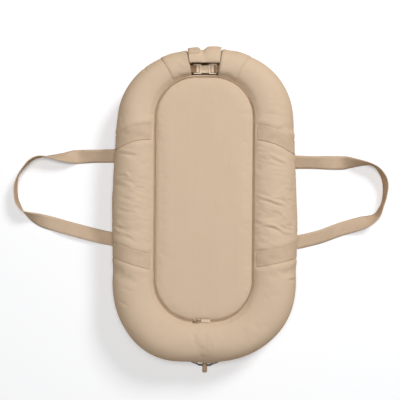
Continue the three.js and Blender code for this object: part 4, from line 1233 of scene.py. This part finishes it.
def seam_loop_runs(count):
    return np.linspace(-HALF_RUN, HALF_RUN, count, endpoint=False)


def toward_middle(place):
    """The nearest point of the pad's middle line, which both sides of the grid meet on."""
    reach = SEAM_LENGTH / 2 - SEAM_WIDTH / 2
    return PANEL_MIDDLE + [0, np.clip((place - PANEL_MIDDLE)[1], -reach, reach)]


def inward_rows(border, depths, height_at, around):
    """Rows of points from the border to the middle line: straight in at first, then converging."""
    rows = []
    for depth in depths:
        share = max(0, depth - STRAIGHT_IN) / (depths[-1] - STRAIGHT_IN)
        row = []
        for run in seam_loop_runs(around):
            place, out = seam_place(run)
            start = place - out * (border + min(depth, STRAIGHT_IN))
            point = start + (toward_middle(place) - start) * share
            row.append([*point, height_at(depth)])
        rows.append(row)
    return np.array(rows)


def flat_map(piece):
    """A map in metres straight from above, as for cloth that was cut in one flat piece."""
    layer = piece.data.uv_layers["weave"]
    loops = np.array([loop.vertex_index for loop in piece.data.loops])
    layer.data.foreach_set("uv", coordinates(piece.data)[loops][:, :2].ravel())


def pad_height(depth):
    return PAD_EDGE_HEIGHT + np.interp(depth, PAD_PROFILE[:, 0], PAD_PROFILE[:, 1])


def plan_noise(points, across_size, along_size, seed):
    return noise_field(points[:, 0] + 1, points[:, 1] + 1, across_size, along_size, seed)


top = inward_rows(PAD_BORDER, PAD_DEPTHS, pad_height, PAD_AROUND)
side_rows = [[in_space(*seam_place(run), -inset, height) for run in seam_loop_runs(PAD_AROUND)]
             for inset, height in PAD_SIDE]
pad = grid_piece("base_pad_top", np.vstack([side_rows, top])[:, ::-1], around=True)
face_outward(pad, MERGE)
flat_map(pad)
inflate(pad, coordinates(pad.data)[:, 2] < PAD_EDGE_HEIGHT + 0.0005, PAD_SPARE, PAD_PRESSURE, PAD_SWELL)
subdivide(pad)
points = coordinates(pad.data)
swell = plan_noise(points, *SWELL_NOISE) * SWELL_HEIGHT
creases = plan_noise(points, *CREASE_NOISE) * CREASE_HEIGHT
edge_in = np.abs(points[:, 0] - PANEL_MIDDLE[0]) - SEAM_WIDTH / 2 + BORDER_WIDTH
puckers = plan_noise(points, *BORDER_NOISE) * BORDER_HEIGHT * np.exp(-(edge_in / BORDER_WIDTH) ** 2)
on_top = ramp(points[:, 2], PAD_EDGE_HEIGHT + 0.001, PAD_EDGE_HEIGHT + 0.005)
points[:, 2] += (swell + creases + puckers) * on_top
set_coordinates(pad, points)
dress(pad, cloth_finish, "nest_body", "cloth", "base_panel", "mattress_core")
print("base pad:", len(pad.data.polygons), "faces, up to", round(points[:, 2].max(), 4))

# %% Sleeping sheet, on the far side of the pad
SHEET_HEIGHT = 0.0762
SHEET_CURL = 0.0028
SHEET_INSET = 0.0085
SHEET_DEPTHS = [*np.linspace(0, 0.03, 7), *np.linspace(0.04, 0.125, 10)]
SHEET_AROUND = 240
SHEET_THICKNESS = 0.0012
SHEET_NOISE, SHEET_SWELL = (0.07, 0.09, 13), 0.0006


def sheet_height(depth):
    return SHEET_HEIGHT + SHEET_CURL * (1 - ramp(depth, 0, 0.012))


rows = inward_rows(SHEET_INSET, SHEET_DEPTHS, sheet_height, SHEET_AROUND)
sheet = grid_piece("sleeping_sheet_cloth", rows, around=True)
face_outward(sheet, MERGE)
subdivide(sheet)
points = coordinates(sheet.data)
points[:, 2] += plan_noise(points, *SHEET_NOISE) * SHEET_SWELL
set_coordinates(sheet, points)
flat_map(sheet)
thicken(sheet, SHEET_THICKNESS, 0)
dress(sheet, lining_finish, "nest_body", "cloth", "sleeping_sheet")

# %% [markdown]
# ## Tube ends
#
# At the head the ring's two ends face each other. Each is closed by a disc of cloth, drawn up on a
# gathering thread, so it has pleats that run to its middle. The disc starts exactly on the ring's last
# row of points, which keeps the seam closed, and shrinks to one point with a wave that grows and fades.

# %% Gathered discs
PLEATS = 26
PLEAT_HEIGHT = 0.0011
DISC_BULGE = 0.006
DISC_SHARES = (1, 0.985, 0.93, 0.82, 0.68, 0.52, 0.36, 0.22, 0.1, 0.0)


def open_rims(piece):
    """The open edges of a piece, as loops of points in order."""
    work = bmesh.new()
    work.from_mesh(piece.data)
    left_over = [edge for edge in work.edges if edge.is_boundary]
    loops = []
    while left_over:
        start, here = left_over.pop(0).verts
        loop = [start]
        while here is not start:
            loop.append(here)
            step = next(edge for edge in here.link_edges if edge in left_over)
            left_over.remove(step)
            here = step.other_vert(here)
        loops.append(np.array([list(vert.co) for vert in loop]))
    work.free()
    return loops


for rim in open_rims(ring):
    middle = rim.mean(axis=0)
    word = "left" if middle[0] < PANEL_MIDDLE[0] else "right"
    side = SIDES[word]
    _, toward = seam_place(side * TUBE_ENDS[word])
    into_gap = np.array([-side * toward[1], side * toward[0], 0])
    turns = np.arange(len(rim)) / len(rim) * 2 * math.pi
    rows = []
    for share in DISC_SHARES:
        wave = np.sin(turns * PLEATS) * share * (1 - share) * 4 * PLEAT_HEIGHT
        out = DISC_BULGE * (1 - share ** 2) ** 0.5 * (1 - 0.35 * math.exp(-(share / 0.2) ** 2))
        rows.append(middle + (rim - middle) * share + into_gap * (out + wave[:, None]))
    disc = grid_piece(f"tube_end_disc_{word}", rows, around=True)
    face_outward(disc, MERGE)
    if normals_of(disc).mean(axis=0) @ into_gap < 0:
        disc.data.flip_normals()
    dress(disc, cloth_finish, "nest_body", "cloth", f"tube_end_cap_{word}")
    print(f"{word} tube end: {len(rim)} points round")

# %% [markdown]
# ## Wide bands and the flap
#
# Both tube ends wear a wide band of the same canvas, and a flap bridges them over the outer side, so
# the ring closes to a loop. The bands are strips on the cloth, like the anchors. The flap has nothing
# beneath it, so it is laid out on the section that the ring would have there, and then creased: the
# cinch pulls it up in one place, where the photograph shows a notch in the outline.

# %% Wide bands
HEAD_BAND_EDGE = 0.080
HEAD_BAND_START = 0.0075
HEAD_BAND_LIFT = 0.0004
HEAD_BAND_END = -78.75
BAND_THICKNESS = 0.0012
# The flap starts so far out from the zipper line, which leaves the window, and ends low outside.
WINDOW_DEPTH = 0.034
FLAP_END = -161


def angle_between(run, first_depth, last_angle, share):
    """An angle round the section, a share of the way from a place on the upper side to a last angle."""
    return angle_across(run, first_depth) * (1 - share) + last_angle * share


head_rows = {}
for word, side in SIDES.items():
    across_runs = side * np.linspace(TUBE_ENDS[word] + 0.0006, HEAD_BAND_EDGE, 15)
    rows = [[on_cloth(run, angle_between(run, HEAD_BAND_START, HEAD_BAND_END, share), HEAD_BAND_LIFT)
             for run in across_runs] for share in np.linspace(0, 1, 64)]
    band, rows = strip_on_cloth(f"head_band_strip_{word}", rows, BAND_THICKNESS, 1)
    head_rows[word] = rows
    dress(band, band_finish, "nest_body", "webbing", f"head_band_{word}")
    print(f"{word} head band: {run_length(rows[:, 7]) * 1000:.0f} mm round the tube")

# %% Flap between the tube ends
FLAP_GAP = 0.0018
FLAP_THICKNESS = 0.0022
FLAP_LIFT = 0.0012
# Each noise: its grain down and along the flap and its seed, and how high it stands.
FLAP_FINE, FLAP_FINE_HEIGHT = (0.011, 0.05, 21), 0.0006
FLAP_BROAD, FLAP_BROAD_HEIGHT = (0.03, 0.02, 22), 0.0009
# Along the zipper line: how far the outer side stands out there.
FLAP_OUTLINE = np.array([
    [-0.045, 0.0010], [-0.034, 0.0026], [-0.019, 0.0024], [-0.0135, -0.0016], [-0.009, -0.0040],
    [-0.003, -0.0020], [0.006, 0.0016], [0.014, 0.0036], [0.026, 0.0036], [0.036, 0.0024],
])


def flap_lift(run, angle):
    outer = ramp(angle, 95, 35) * (1 - 0.6 * ramp(-angle, 30, 120))
    push = np.interp(run, FLAP_OUTLINE[:, 0], FLAP_OUTLINE[:, 1])
    return FLAP_LIFT + push * outer


def flap_point(run, share):
    angle = angle_between(run, WINDOW_DEPTH, FLAP_END, share)
    return on_section(run, angle) + cloth_normal(run, angle) * flap_lift(run, angle)


flap_runs = np.linspace(-TUBE_ENDS["left"] + FLAP_GAP, TUBE_ENDS["right"] - FLAP_GAP, 33)
rows = np.array([[flap_point(run, share) for run in flap_runs] for share in np.linspace(0, 1, 90)])
rows = soften(rows.swapaxes(0, 1), 2).swapaxes(0, 1)
flap = grid_piece("bridging_flap", rows)
down = np.repeat(np.linspace(0, 0.2, len(rows)), len(flap_runs))
along = np.tile(flap_runs + 0.05, len(rows))
grain = noise_field(down, along, *FLAP_FINE) * FLAP_FINE_HEIGHT
grain += noise_field(down, along, *FLAP_BROAD) * FLAP_BROAD_HEIGHT
grain *= ramp(down, 0.001, 0.014)
if normals_of(flap).mean(axis=0)[1] < 0:
    flap.data.flip_normals()
points = coordinates(flap.data) + normals_of(flap) * grain[:, None]
points[:, 2] = np.maximum(points[:, 2], FLAP_THICKNESS + 0.0003)
set_coordinates(flap, points)
flap_rows = points.reshape(rows.shape)
subdivide(flap)
thicken(flap, FLAP_THICKNESS, -1.0)
dress(flap, cloth_finish, "nest_body", "cloth", "head_flap")
flap_tree = tree_of(flap)
print("flap:", len(flap.data.polygons), "faces")

# %% Patch on the flap
PATCH_RUNS = np.linspace(-0.0350, -0.0155, 12)
PATCH_ANGLES = np.linspace(62, 16, 16)
PATCH_LIFT = 0.0003
PATCH_THICKNESS = 0.001


def on_flap(run, angle, lift):
    """The point of the flap's outside in one direction from its middle."""
    wanted = on_section(run, angle)
    way = cloth_normal(run, angle)
    hit, _ = seen_from_outside(flap_tree, wanted, way, 0.02, 0.04)
    return (wanted if hit is None else hit) + way * lift


patch_rows = [[on_flap(run, angle, PATCH_LIFT) for run in PATCH_RUNS] for angle in PATCH_ANGLES]
patch, patch_rows = strip_on_cloth("bare_patch", patch_rows, PATCH_THICKNESS, 1)
dress(patch, webbing_finish, "nest_body", "webbing", "head_patch")

# %% [markdown]
# ## Cinch strap and its two ladder locks
#
# Behind the flap a 20 mm strap draws the two tube ends together. It is threaded through two ladder
# locks, flat frames with three bars, and each lock hangs in a webbing loop sewn to its tube end. The
# frame is a grid whose lines lie where its bars begin and end: the two slots are deleted, the rest gets
# a thickness and rounded edges. The straps follow the corners that they bend round.

# %% A ladder lock
CINCH = np.array([0.010, 0.3608, 0.098])
STRAP_WIDTH = 0.020
STRAP_THICKNESS = 0.0013
LOCK_BARS = np.array([-10, -7, -1.5, 1.5, 7, 10]) / 1000
LOCK_RAILS = np.array([-13, -10.4, -5, 5, 10.4, 13]) / 1000
LOCK_THICKNESS = 0.003
LOCK_OFFSET = 0.020
BAR_WORN = 0.82
# Edges sharper than these are rounded, and shown as edges.
BEVEL_ANGLE, SHARP_ANGLE = math.radians(40), math.radians(35)


def round_edges(piece, width, segments):
    finish_modifier(piece, "BEVEL", width=width, segments=segments, limit_method="ANGLE",
                    angle_limit=BEVEL_ANGLE)


def ladder_lock(name, x):
    """Two slots cut in a grid, then thickness and rounded edges."""
    bpy.ops.object.select_all(action="DESELECT")
    bpy.ops.mesh.primitive_grid_add(
        x_subdivisions=len(LOCK_BARS) - 1, y_subdivisions=len(LOCK_RAILS) - 1, size=1)
    lock = bpy.context.object
    lock.name = lock.data.name = name
    points = coordinates(lock.data)
    steps_x = np.rint((points[:, 0] + 0.5) * (len(LOCK_BARS) - 1)).astype(int)
    steps_y = np.rint((points[:, 1] + 0.5) * (len(LOCK_RAILS) - 1)).astype(int)
    points[:, 0], points[:, 1] = LOCK_BARS[steps_x], LOCK_RAILS[steps_y]
    set_coordinates(lock, points)
    bpy.ops.object.mode_set(mode="EDIT")
    bpy.ops.mesh.select_all(action="DESELECT")
    bpy.ops.mesh.select_mode(type="FACE")
    work = bmesh.from_edit_mesh(lock.data)
    for face in work.faces:
        middle = face.calc_center_median()
        face.select = LOCK_BARS[3] < abs(middle.x) < LOCK_BARS[4] and abs(middle.y) < LOCK_RAILS[4]
    bmesh.update_edit_mesh(lock.data)
    bpy.ops.mesh.delete(type="FACE")
    bpy.ops.mesh.select_all(action="SELECT")
    bpy.ops.mesh.extrude_region_move(TRANSFORM_OT_translate={"value": (0, 0, LOCK_THICKNESS)})
    bpy.ops.mesh.select_all(action="SELECT")
    bpy.ops.mesh.normals_make_consistent(inside=False)
    bpy.ops.object.mode_set(mode="OBJECT")
    round_edges(lock, 0.0007, 3)
    points = coordinates(lock.data)
    half = LOCK_THICKNESS / 2
    middle_bar = np.abs(points[:, 0]) < 0.002
    points[middle_bar, 2] = half + (points[middle_bar, 2] - half) * BAR_WORN
    set_coordinates(lock, points + CINCH + [x, 0, 0])
    lock.data.shade_smooth()
    only(lock)
    bpy.ops.object.shade_smooth_by_angle(angle=SHARP_ANGLE)
    return lock


for word, side in SIDES.items():
    lock = ladder_lock(f"ladder_frame_{word}", side * LOCK_OFFSET)
    dress(lock, lock_painted_light_finish, "nest_body", "buckle_plastic", f"ladder_lock_{word}")
    print(f"{word} ladder lock:", len(lock.data.polygons), "faces")


# %% Strap and loops
STRAP_SAG = 0.0012
# Corners in millimetres from the cinch's middle: out, and up.
STRAP_HALF = [
    [23, 3.95], [20.5, 3.95], [18.4, 3.9], [17.2, 3.2], [14.4, -0.3], [13.2, -0.95], [11, -0.95],
]
LOOP_BEND = [[29, -0.95], [25.6, -0.9], [24.4, -0.2], [24.2, 1.5], [24.4, 3.2], [25.6, 3.9], [29, 3.95]]
LOOP_ENDS = {"left": 45.1, "right": 35.0}


def bent_strap(name, corners, sag=0.0):
    """A strap along corners in an upright plane. It sags over its middle like a shallow cup."""
    rows = []
    for x, z in smooth_line(np.array(corners) / 1000, 5):
        cup = sag * (1 - min(1, abs(x) / 0.012) ** 2)
        rows.append([CINCH + [x, y, z - cup * (1 - (y / STRAP_WIDTH * 1.6) ** 2)]
                     for y in np.linspace(-STRAP_WIDTH / 2, STRAP_WIDTH / 2, 9)])
    strap = grid_piece(name, rows)
    thicken(strap, STRAP_THICKNESS, 0)
    return strap


strap_corners = [[-x, z] for x, z in STRAP_HALF] + [[0, -0.95]] + STRAP_HALF[::-1]
strap = bent_strap("cinch_webbing_painted_light", strap_corners, STRAP_SAG)
dress(strap, cinch_painted_light_finish, "nest_body", "webbing", "cinch_strap")
for word, side in SIDES.items():
    corners = [[LOOP_ENDS[word], -0.95], *LOOP_BEND, [LOOP_ENDS[word], 3.95]]
    loop = bent_strap(f"lock_webbing_{word}", [[side * x, z] for x, z in corners])
    dress(loop, loop_painted_shade_finish, "nest_body", "webbing", f"lock_loop_{word}")
print("cinch strap and loops made")

# %% [markdown]
# ## Zipper
#
# The base is held by a fine coil zipper. Seen close, a closed coil is two rows of small nylon humps that
# mesh, on two narrow tapes, and it lies deep between the ring's shoulder and the pad's border, so the
# photograph shows it as a dark line. Its colour is also darker than the tapes': painted shade of that
# groove. Each hump is one small wedge, repeated round the whole line.

# %% Teeth
TOOTH_PITCH = 0.00155
TOOTH_HEIGHT = 0.0017
COIL_TOP = 0.1014
TOOTH = np.array([
    [-0.0021, -0.00055, 0], [0.0004, -0.00045, 0], [0.0004, 0.00045, 0], [-0.0021, 0.00055, 0],
    [-0.0015, -0.0003, 1], [0.0001, -0.00025, 1], [0.0001, 0.00025, 1], [-0.0015, 0.0003, 1],
])
TOOTH_FACES = [(3, 2, 1, 0), (4, 5, 6, 7), (0, 1, 5, 4), (1, 2, 6, 5), (2, 3, 7, 6), (3, 0, 4, 7)]

verts, faces = [], []
count = int(2 * HALF_RUN / TOOTH_PITCH / 2) * 2
for number in range(count):
    place, out = seam_place(-HALF_RUN + 2 * HALF_RUN * number / count)
    along = np.array([-out[1], out[0]])
    side = 1 if number % 2 else -1
    first = len(verts)
    for across, run, up in TOOTH:
        spot = place - out * side * across + along * side * run
        verts.append([*spot, COIL_TOP - TOOTH_HEIGHT * (1 - up)])
    faces.extend(tuple(first + v for v in face) for face in TOOTH_FACES)
teeth = new_piece("zipper_teeth", verts, faces)
face_outward(teeth)
dress(teeth, coil_painted_shade_finish, "nest_body", "buckle_plastic", "zipper_coil")
print("zipper:", count, "teeth")

# %% Tapes
TAPE_PROFILE = [[0.0002, 0.0996], [0.0017, 0.0996], [0.0032, 0.0992], [0.0046, 0.0976], [0.0052, 0.0950]]
TAPE_THICKNESS = 0.0005
for word, side in (("inner", -1), ("outer", 1)):
    rows = [[in_space(*seam_place(run), side * across, height) for across, height in TAPE_PROFILE]
            for run in seam_loop_runs(420)]
    tape = grid_piece(f"zipper_tape_{word}", rows, close_rows=True)
    thicken(tape, TAPE_THICKNESS, 0)
    face_outward(tape)
    dress(tape, tape_finish, "nest_body", "webbing", f"zipper_{word}_tape")

# %% [markdown]
# ## Slider, pull and the tab over the zipper's end
#
# The slider is a small painted casting: a plate with two lips, and a loop that carries the pull. Its CAD
# solid has the right shape but sharp corners, and a casting never has those. So a copy of the mesh is
# merged, its loose triangles dissolved to whole faces, and its edges rounded. The tab is a folded strip
# of light cloth sewn across the coil's end.

# %% Rounding a copy of a CAD solid
def softened(node, name, width, finish, body, slot):
    """A copy of a CAD node's mesh with rounded edges, which stands for the node."""
    piece = bpy.data.objects.new(name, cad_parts[node].data.copy())
    bpy.context.collection.objects.link(piece)
    edit_all(piece, (bpy.ops.mesh.remove_doubles, {"threshold": 0.00001}),
             (bpy.ops.mesh.dissolve_limited, {"angle_limit": math.radians(1)}))
    round_edges(piece, width, 2)
    bpy.ops.object.shade_smooth_by_angle(angle=SHARP_ANGLE)
    dress(piece, finish, body, slot, node)
    print(f"{name}: {len(piece.data.polygons)} faces")


for part, width in (("slider", 0.0005), ("pull", 0.0003)):
    softened(f"zipper_{part}", f"{part}_casting", width, slider_finish, f"zipper_{part}_body",
             "painted_trim")

# %% Tab over the zipper's end
TAB_ARCH = 0.0009
TAB_LIFT = 0.0008
TAB_HALF = 0.0046
TAB_INSET = 0.0004
TAB_THICKNESS = 0.0011
low, high = (np.array(corner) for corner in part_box("zipper_garage"))
middle_y = (low[1] + high[1]) / 2
rows = []
for share in np.linspace(0, 1, 13):
    x = low[0] + (high[0] - low[0]) * share
    arch = TAB_ARCH * math.sin(math.pi * share) ** 0.5 if 0 < share < 1 else 0
    rows.append([[x, y, low[2] + TAB_LIFT + arch * (1 - (abs(y - middle_y) / TAB_HALF) ** 4)]
                 for y in np.linspace(low[1] + TAB_INSET, high[1] - TAB_INSET, 9)])
tab = grid_piece("zipper_end_tab", rows)
subdivide(tab)
thicken(tab, TAB_THICKNESS, 0)
face_outward(tab)
tab_finish = woven("tab_canvas", linear(222, 200, 174), linear(208, 184, 157), 0.0006, 0.00004)
dress(tab, tab_finish, "nest_body", "cloth", "zipper_garage")

# %% [markdown]
# ## Foot end
#
# Two eyelets let the drawcord out of the ring's lower side. Each is a flattened ring of painted metal
# that sits on the cloth, so it is turned to the cloth's own slope. The cord lock is a small barrel with
# a sprung plunger, both with a slot through them. Their CAD solids are right but sharp, so they are
# rounded like the slider. Each strand ends in a knot: a ball with the cord's turns showing.

# %% Eyelets
EYELET_RADIUS = 0.0040
EYELET_ROUND = 0.0013
EYELET_FLAT = 0.55
EYELET_LIFT = 0.0004

for word, (strand, route, knot) in strands.items():
    middle = node_middle(f"cord_eyelet_{word}")
    outward = route[8] - route[0]
    outward /= np.linalg.norm(outward)
    hit, _ = seen_from_outside(ring_tree, middle, outward, 0.03, 0.06)
    seat = middle if hit is None else hit
    bpy.ops.object.select_all(action="DESELECT")
    bpy.ops.mesh.primitive_torus_add(
        major_segments=40, minor_segments=12, major_radius=EYELET_RADIUS, minor_radius=EYELET_ROUND)
    eyelet = bpy.context.object
    eyelet.name = eyelet.data.name = f"eyelet_rim_{word}"
    flatten = {"value": (1, 1, EYELET_FLAT), "center_override": (0, 0, 0)}
    edit_all(eyelet, (bpy.ops.transform.resize, flatten))
    facing = Vector(outward).to_track_quat("Z", "Y").to_matrix().to_4x4()
    eyelet.matrix_world = Matrix.Translation(Vector(seat + outward * EYELET_LIFT)) @ facing
    bpy.ops.object.transform_apply(location=True, rotation=True, scale=True)
    eyelet.data.shade_smooth()
    dress(eyelet, painted_finish, "nest_body", "painted_trim", f"cord_eyelet_{word}")
    print(f"{word} eyelet stands {np.linalg.norm(seat - middle) * 1000:.1f} mm from its CAD place")

# %% Cord lock
for part, name, width, body in (("body", "barrel", 0.0006, "nest_body"),
                                ("button", "plunger", 0.0005, "cord_lock_button_body")):
    softened(f"cord_lock_{part}", f"cord_lock_{name}", width, toggle_painted_shade_finish, body, "buckle_plastic")
refinish("cord_lock_spring", steel_finish)

# %% Knots
KNOT_RADIUS = 0.0027
KNOT_MAP = 0.012
for word, (strand, route, knot) in strands.items():
    bpy.ops.object.select_all(action="DESELECT")
    bpy.ops.mesh.primitive_uv_sphere_add(segments=28, ring_count=18, radius=KNOT_RADIUS, location=knot)
    ball = bpy.context.object
    ball.name = ball.data.name = f"tied_knot_{word}"
    bpy.ops.object.transform_apply(location=True, rotation=True, scale=True)
    points = coordinates(ball.data)
    off = points - knot
    wraps = np.cos(2 * np.arctan2(off[:, 1], off[:, 0]) + 5 * (off[:, 2] / KNOT_RADIUS))
    off *= (0.94 + 0.07 * wraps)[:, None]
    set_coordinates(ball, knot + off)
    ball.data.shade_smooth()
    map_layer = ball.data.uv_layers[0]
    map_layer.name = "weave"
    map_layer.data.foreach_set("uv", read(map_layer.data, "uv", 2).ravel() * KNOT_MAP)
    dress(ball, shaded_cord_finish, "nest_body", "cord", f"cord_knot_{word}")
    print(f"{word} strand: {run_length(route):.4f} m, ends in a knot")

# %% [markdown]
# ## Stitches
#
# Most seams of the nest are sewn with a slightly lighter thread. At the head bands and the patch the
# thread is darker, as painted shade of the thin shadow lines along those seams. A stitch is a few
# millimetres long and half a millimetre thick: it rises from the cloth, crosses, and dips in again. One
# small shape with four sides and three sections does that, laid along each seam line at an even pitch.

# %% A row of stitches
STITCH_PITCH = 0.0034
STITCH_LENGTH = 0.0024
STITCH_WIDTH = 0.0006
# The three sections of a stitch: how far along it, how high over the cloth, and its share of the width.
STITCH_SECTIONS = ((0, -0.0003, 0.55), (0.5, 0.00042, 1), (1, -0.0003, 0.55))
STITCH_FACES = [(row + k, row + (k + 1) % 4, row + 4 + (k + 1) % 4, row + 4 + k)
                for row in (0, 4) for k in range(4)] + [(3, 2, 1, 0), (8, 9, 10, 11)]


def sew(name, lines, finish, slot="cloth", pitch=STITCH_PITCH, length=STITCH_LENGTH):
    """One stitch after another. Each line has its points and the ways that the cloth faces there."""
    verts, faces = [], []
    for points, ways in lines:
        points, ways = np.asarray(points, float), np.asarray(ways, float)
        steps = walked(points)
        for start in np.arange(pitch * 0.3, steps[-1] - length, pitch):
            spots = [np.array([np.interp(start + length * share, steps, points[:, k]) for k in range(3)])
                     for share, _, _ in STITCH_SECTIONS]
            up = np.array([np.interp(start + length * 0.5, steps, ways[:, k]) for k in range(3)])
            up /= np.linalg.norm(up)
            beside = np.cross(up, spots[2] - spots[0])
            beside *= STITCH_WIDTH / 2 / np.linalg.norm(beside)
            faces += [tuple(len(verts) + v for v in face) for face in STITCH_FACES]
            for spot, (_, rise, share) in zip(spots, STITCH_SECTIONS):
                top = spot + up * rise
                verts += [top - beside * share, top + up * STITCH_WIDTH * 0.3, top + beside * share,
                          top - up * STITCH_WIDTH * 0.5]
    row = new_piece(name, verts, faces)
    face_outward(row)
    dress(row, finish, "nest_body", slot)
    print(f"{name}: {len(faces) // len(STITCH_FACES)} stitches")


def surface_line(tree, places, look, reach=0.02):
    """A seam line on a surface: each place looks for the cloth along one way."""
    points, ways = [], []
    for place, way in zip(places, look):
        hit, normal = seen_from_outside(tree, place, np.array(way, float), reach, 3 * reach)
        if hit is not None:
            points.append(hit)
            ways.append(normal)
    return points, ways


# %% Seams beside the zipper
UP = (0, 0, 1)
PAD_SEAM = 0.0085
RING_SEAM = 0.0115
BAND_CLEARANCE = 0.002


def seam_beside(tree, runs, across, height):
    """A seam line at one distance from the zipper line, on the cloth that is seen from above."""
    places = [in_space(*seam_place(run), across, height) for run in runs]
    return surface_line(tree, places, [UP] * len(places))


closed = np.append(seam_loop_runs(900), HALF_RUN)
sew("pad_border_stitching", [seam_beside(tree_of(pad), closed, -PAD_SEAM, 0.104)], thread_finish)
for word, side in SIDES.items():
    part = [run for run in closed if side * run >= HEAD_BAND_EDGE + BAND_CLEARANCE]
    sew(f"ring_seam_stitching_{word}", [seam_beside(ring_tree, part, RING_SEAM, 0.11)], thread_finish)


# %% Boxes and ends of the anchor bands
def strip_point(rows, share_along, share_across):
    """A place on a strip by its shares of length and width."""
    i, k = share_along * (rows.shape[0] - 1), share_across * (rows.shape[1] - 1)
    a, b = int(min(i, rows.shape[0] - 2)), int(min(k, rows.shape[1] - 2))
    s, t = i - a, k - b
    return ((rows[a, b] * (1 - s) + rows[a + 1, b] * s) * (1 - t)
            + (rows[a, b + 1] * (1 - s) + rows[a + 1, b + 1] * s) * t)


def on_strip(tree, rows, *corners, steps=24):
    """A seam line over a strip, from corner to corner, each a share of its length and its width."""
    spots = []
    for (a, b), (c, d) in zip(corners, corners[1:]):
        spots += [strip_point(rows, a + (c - a) * s, b + (d - b) * s) for s in np.arange(steps) / steps]
    spots.append(strip_point(rows, *corners[-1]))
    looks = []
    for spot in spots:
        near = np.argmin(np.linalg.norm(rows.reshape(-1, 3) - spot, axis=1))
        i, k = divmod(near, rows.shape[1])
        i, k = min(max(i, 1), rows.shape[0] - 2), min(max(k, 1), rows.shape[1] - 2)
        way = np.cross(rows[i + 1, k] - rows[i - 1, k], rows[i, k + 1] - rows[i, k - 1])
        way /= np.linalg.norm(way)
        outward = spot - [*PANEL_MIDDLE, 0.02]
        looks.append(way if way @ outward > 0 else -way)
    return surface_line(tree, spots, looks, 0.004)


def boxed(left, right, low, high):
    """The four corners of a sewn box, and the first again."""
    return (left, low), (left, high), (right, high), (right, low), (left, low)


for word, rows in anchor_rows.items():
    tree = tree_of(bpy.data.objects[f"anchor_strap_{word}"])
    lines = [on_strip(tree, rows, (share, 0.03), (share, 0.97)) for share in (0.025, 0.05)]
    lines += [on_strip(tree, rows, (0.03, share), (0.985, share), steps=90) for share in (0.045, 0.955)]
    lines += [
        on_strip(tree, rows, *boxed(0.78, 0.96, 0.1, 0.9)),
        on_strip(tree, rows, (0.78, 0.1), (0.96, 0.9)),
        on_strip(tree, rows, (0.78, 0.9), (0.96, 0.1)),
    ]
    sew(f"anchor_stitching_{word}", lines, thread_finish, "webbing")

# %% Seams at the head
for word, rows in head_rows.items():
    tree = tree_of(bpy.data.objects[f"head_band_strip_{word}"])
    lines = [on_strip(tree, rows, (0.01, s), (0.99, s), steps=90) for s in (0.05, 0.9, 0.955)]
    lines.append(on_strip(tree, rows, (0.015, 0.05), (0.015, 0.95)))
    sew(f"head_band_stitching_{word}", lines, painted_shade_thread_finish, "webbing")

FLAP_SEAM_REACH = 0.006
looks = [cloth_normal(run, 75) for run in flap_runs[1:-1]]
lines = [surface_line(flap_tree, flap_rows[row, 1:-1], looks, FLAP_SEAM_REACH) for row in (3, 5)]
for column in (1, -2):
    run = flap_runs[column]
    angles = [angle_between(run, WINDOW_DEPTH, FLAP_END, s) for s in np.linspace(0, 1, 90)]
    looks = [cloth_normal(run, angle) for angle in angles]
    lines.append(surface_line(flap_tree, flap_rows[4:60, column], looks[4:60], FLAP_SEAM_REACH))
sew("flap_stitching", lines, thread_finish)

lines = [on_strip(tree_of(patch), patch_rows,
                  (0.07, 0.07), (0.93, 0.07), (0.93, 0.93), (0.07, 0.93), (0.07, 0.07))]
sew("patch_stitching", lines, painted_shade_thread_finish, "webbing", pitch=0.0026, length=0.0018)

# %% Box stitches where the lock loops are sewn to the tube ends
LOOP_SEAM_HALF = 0.009
lines = []
for side, far in ((-1, 0.0445), (1, 0.0345)):
    for inset in (0.002, 0.0045):
        places = [CINCH + [side * (far - inset), y, 0.0047]
                  for y in np.linspace(-LOOP_SEAM_HALF, LOOP_SEAM_HALF, 12)]
        lines.append((places, [UP] * len(places)))
sew("loop_stitching", lines, thread_finish, "webbing")
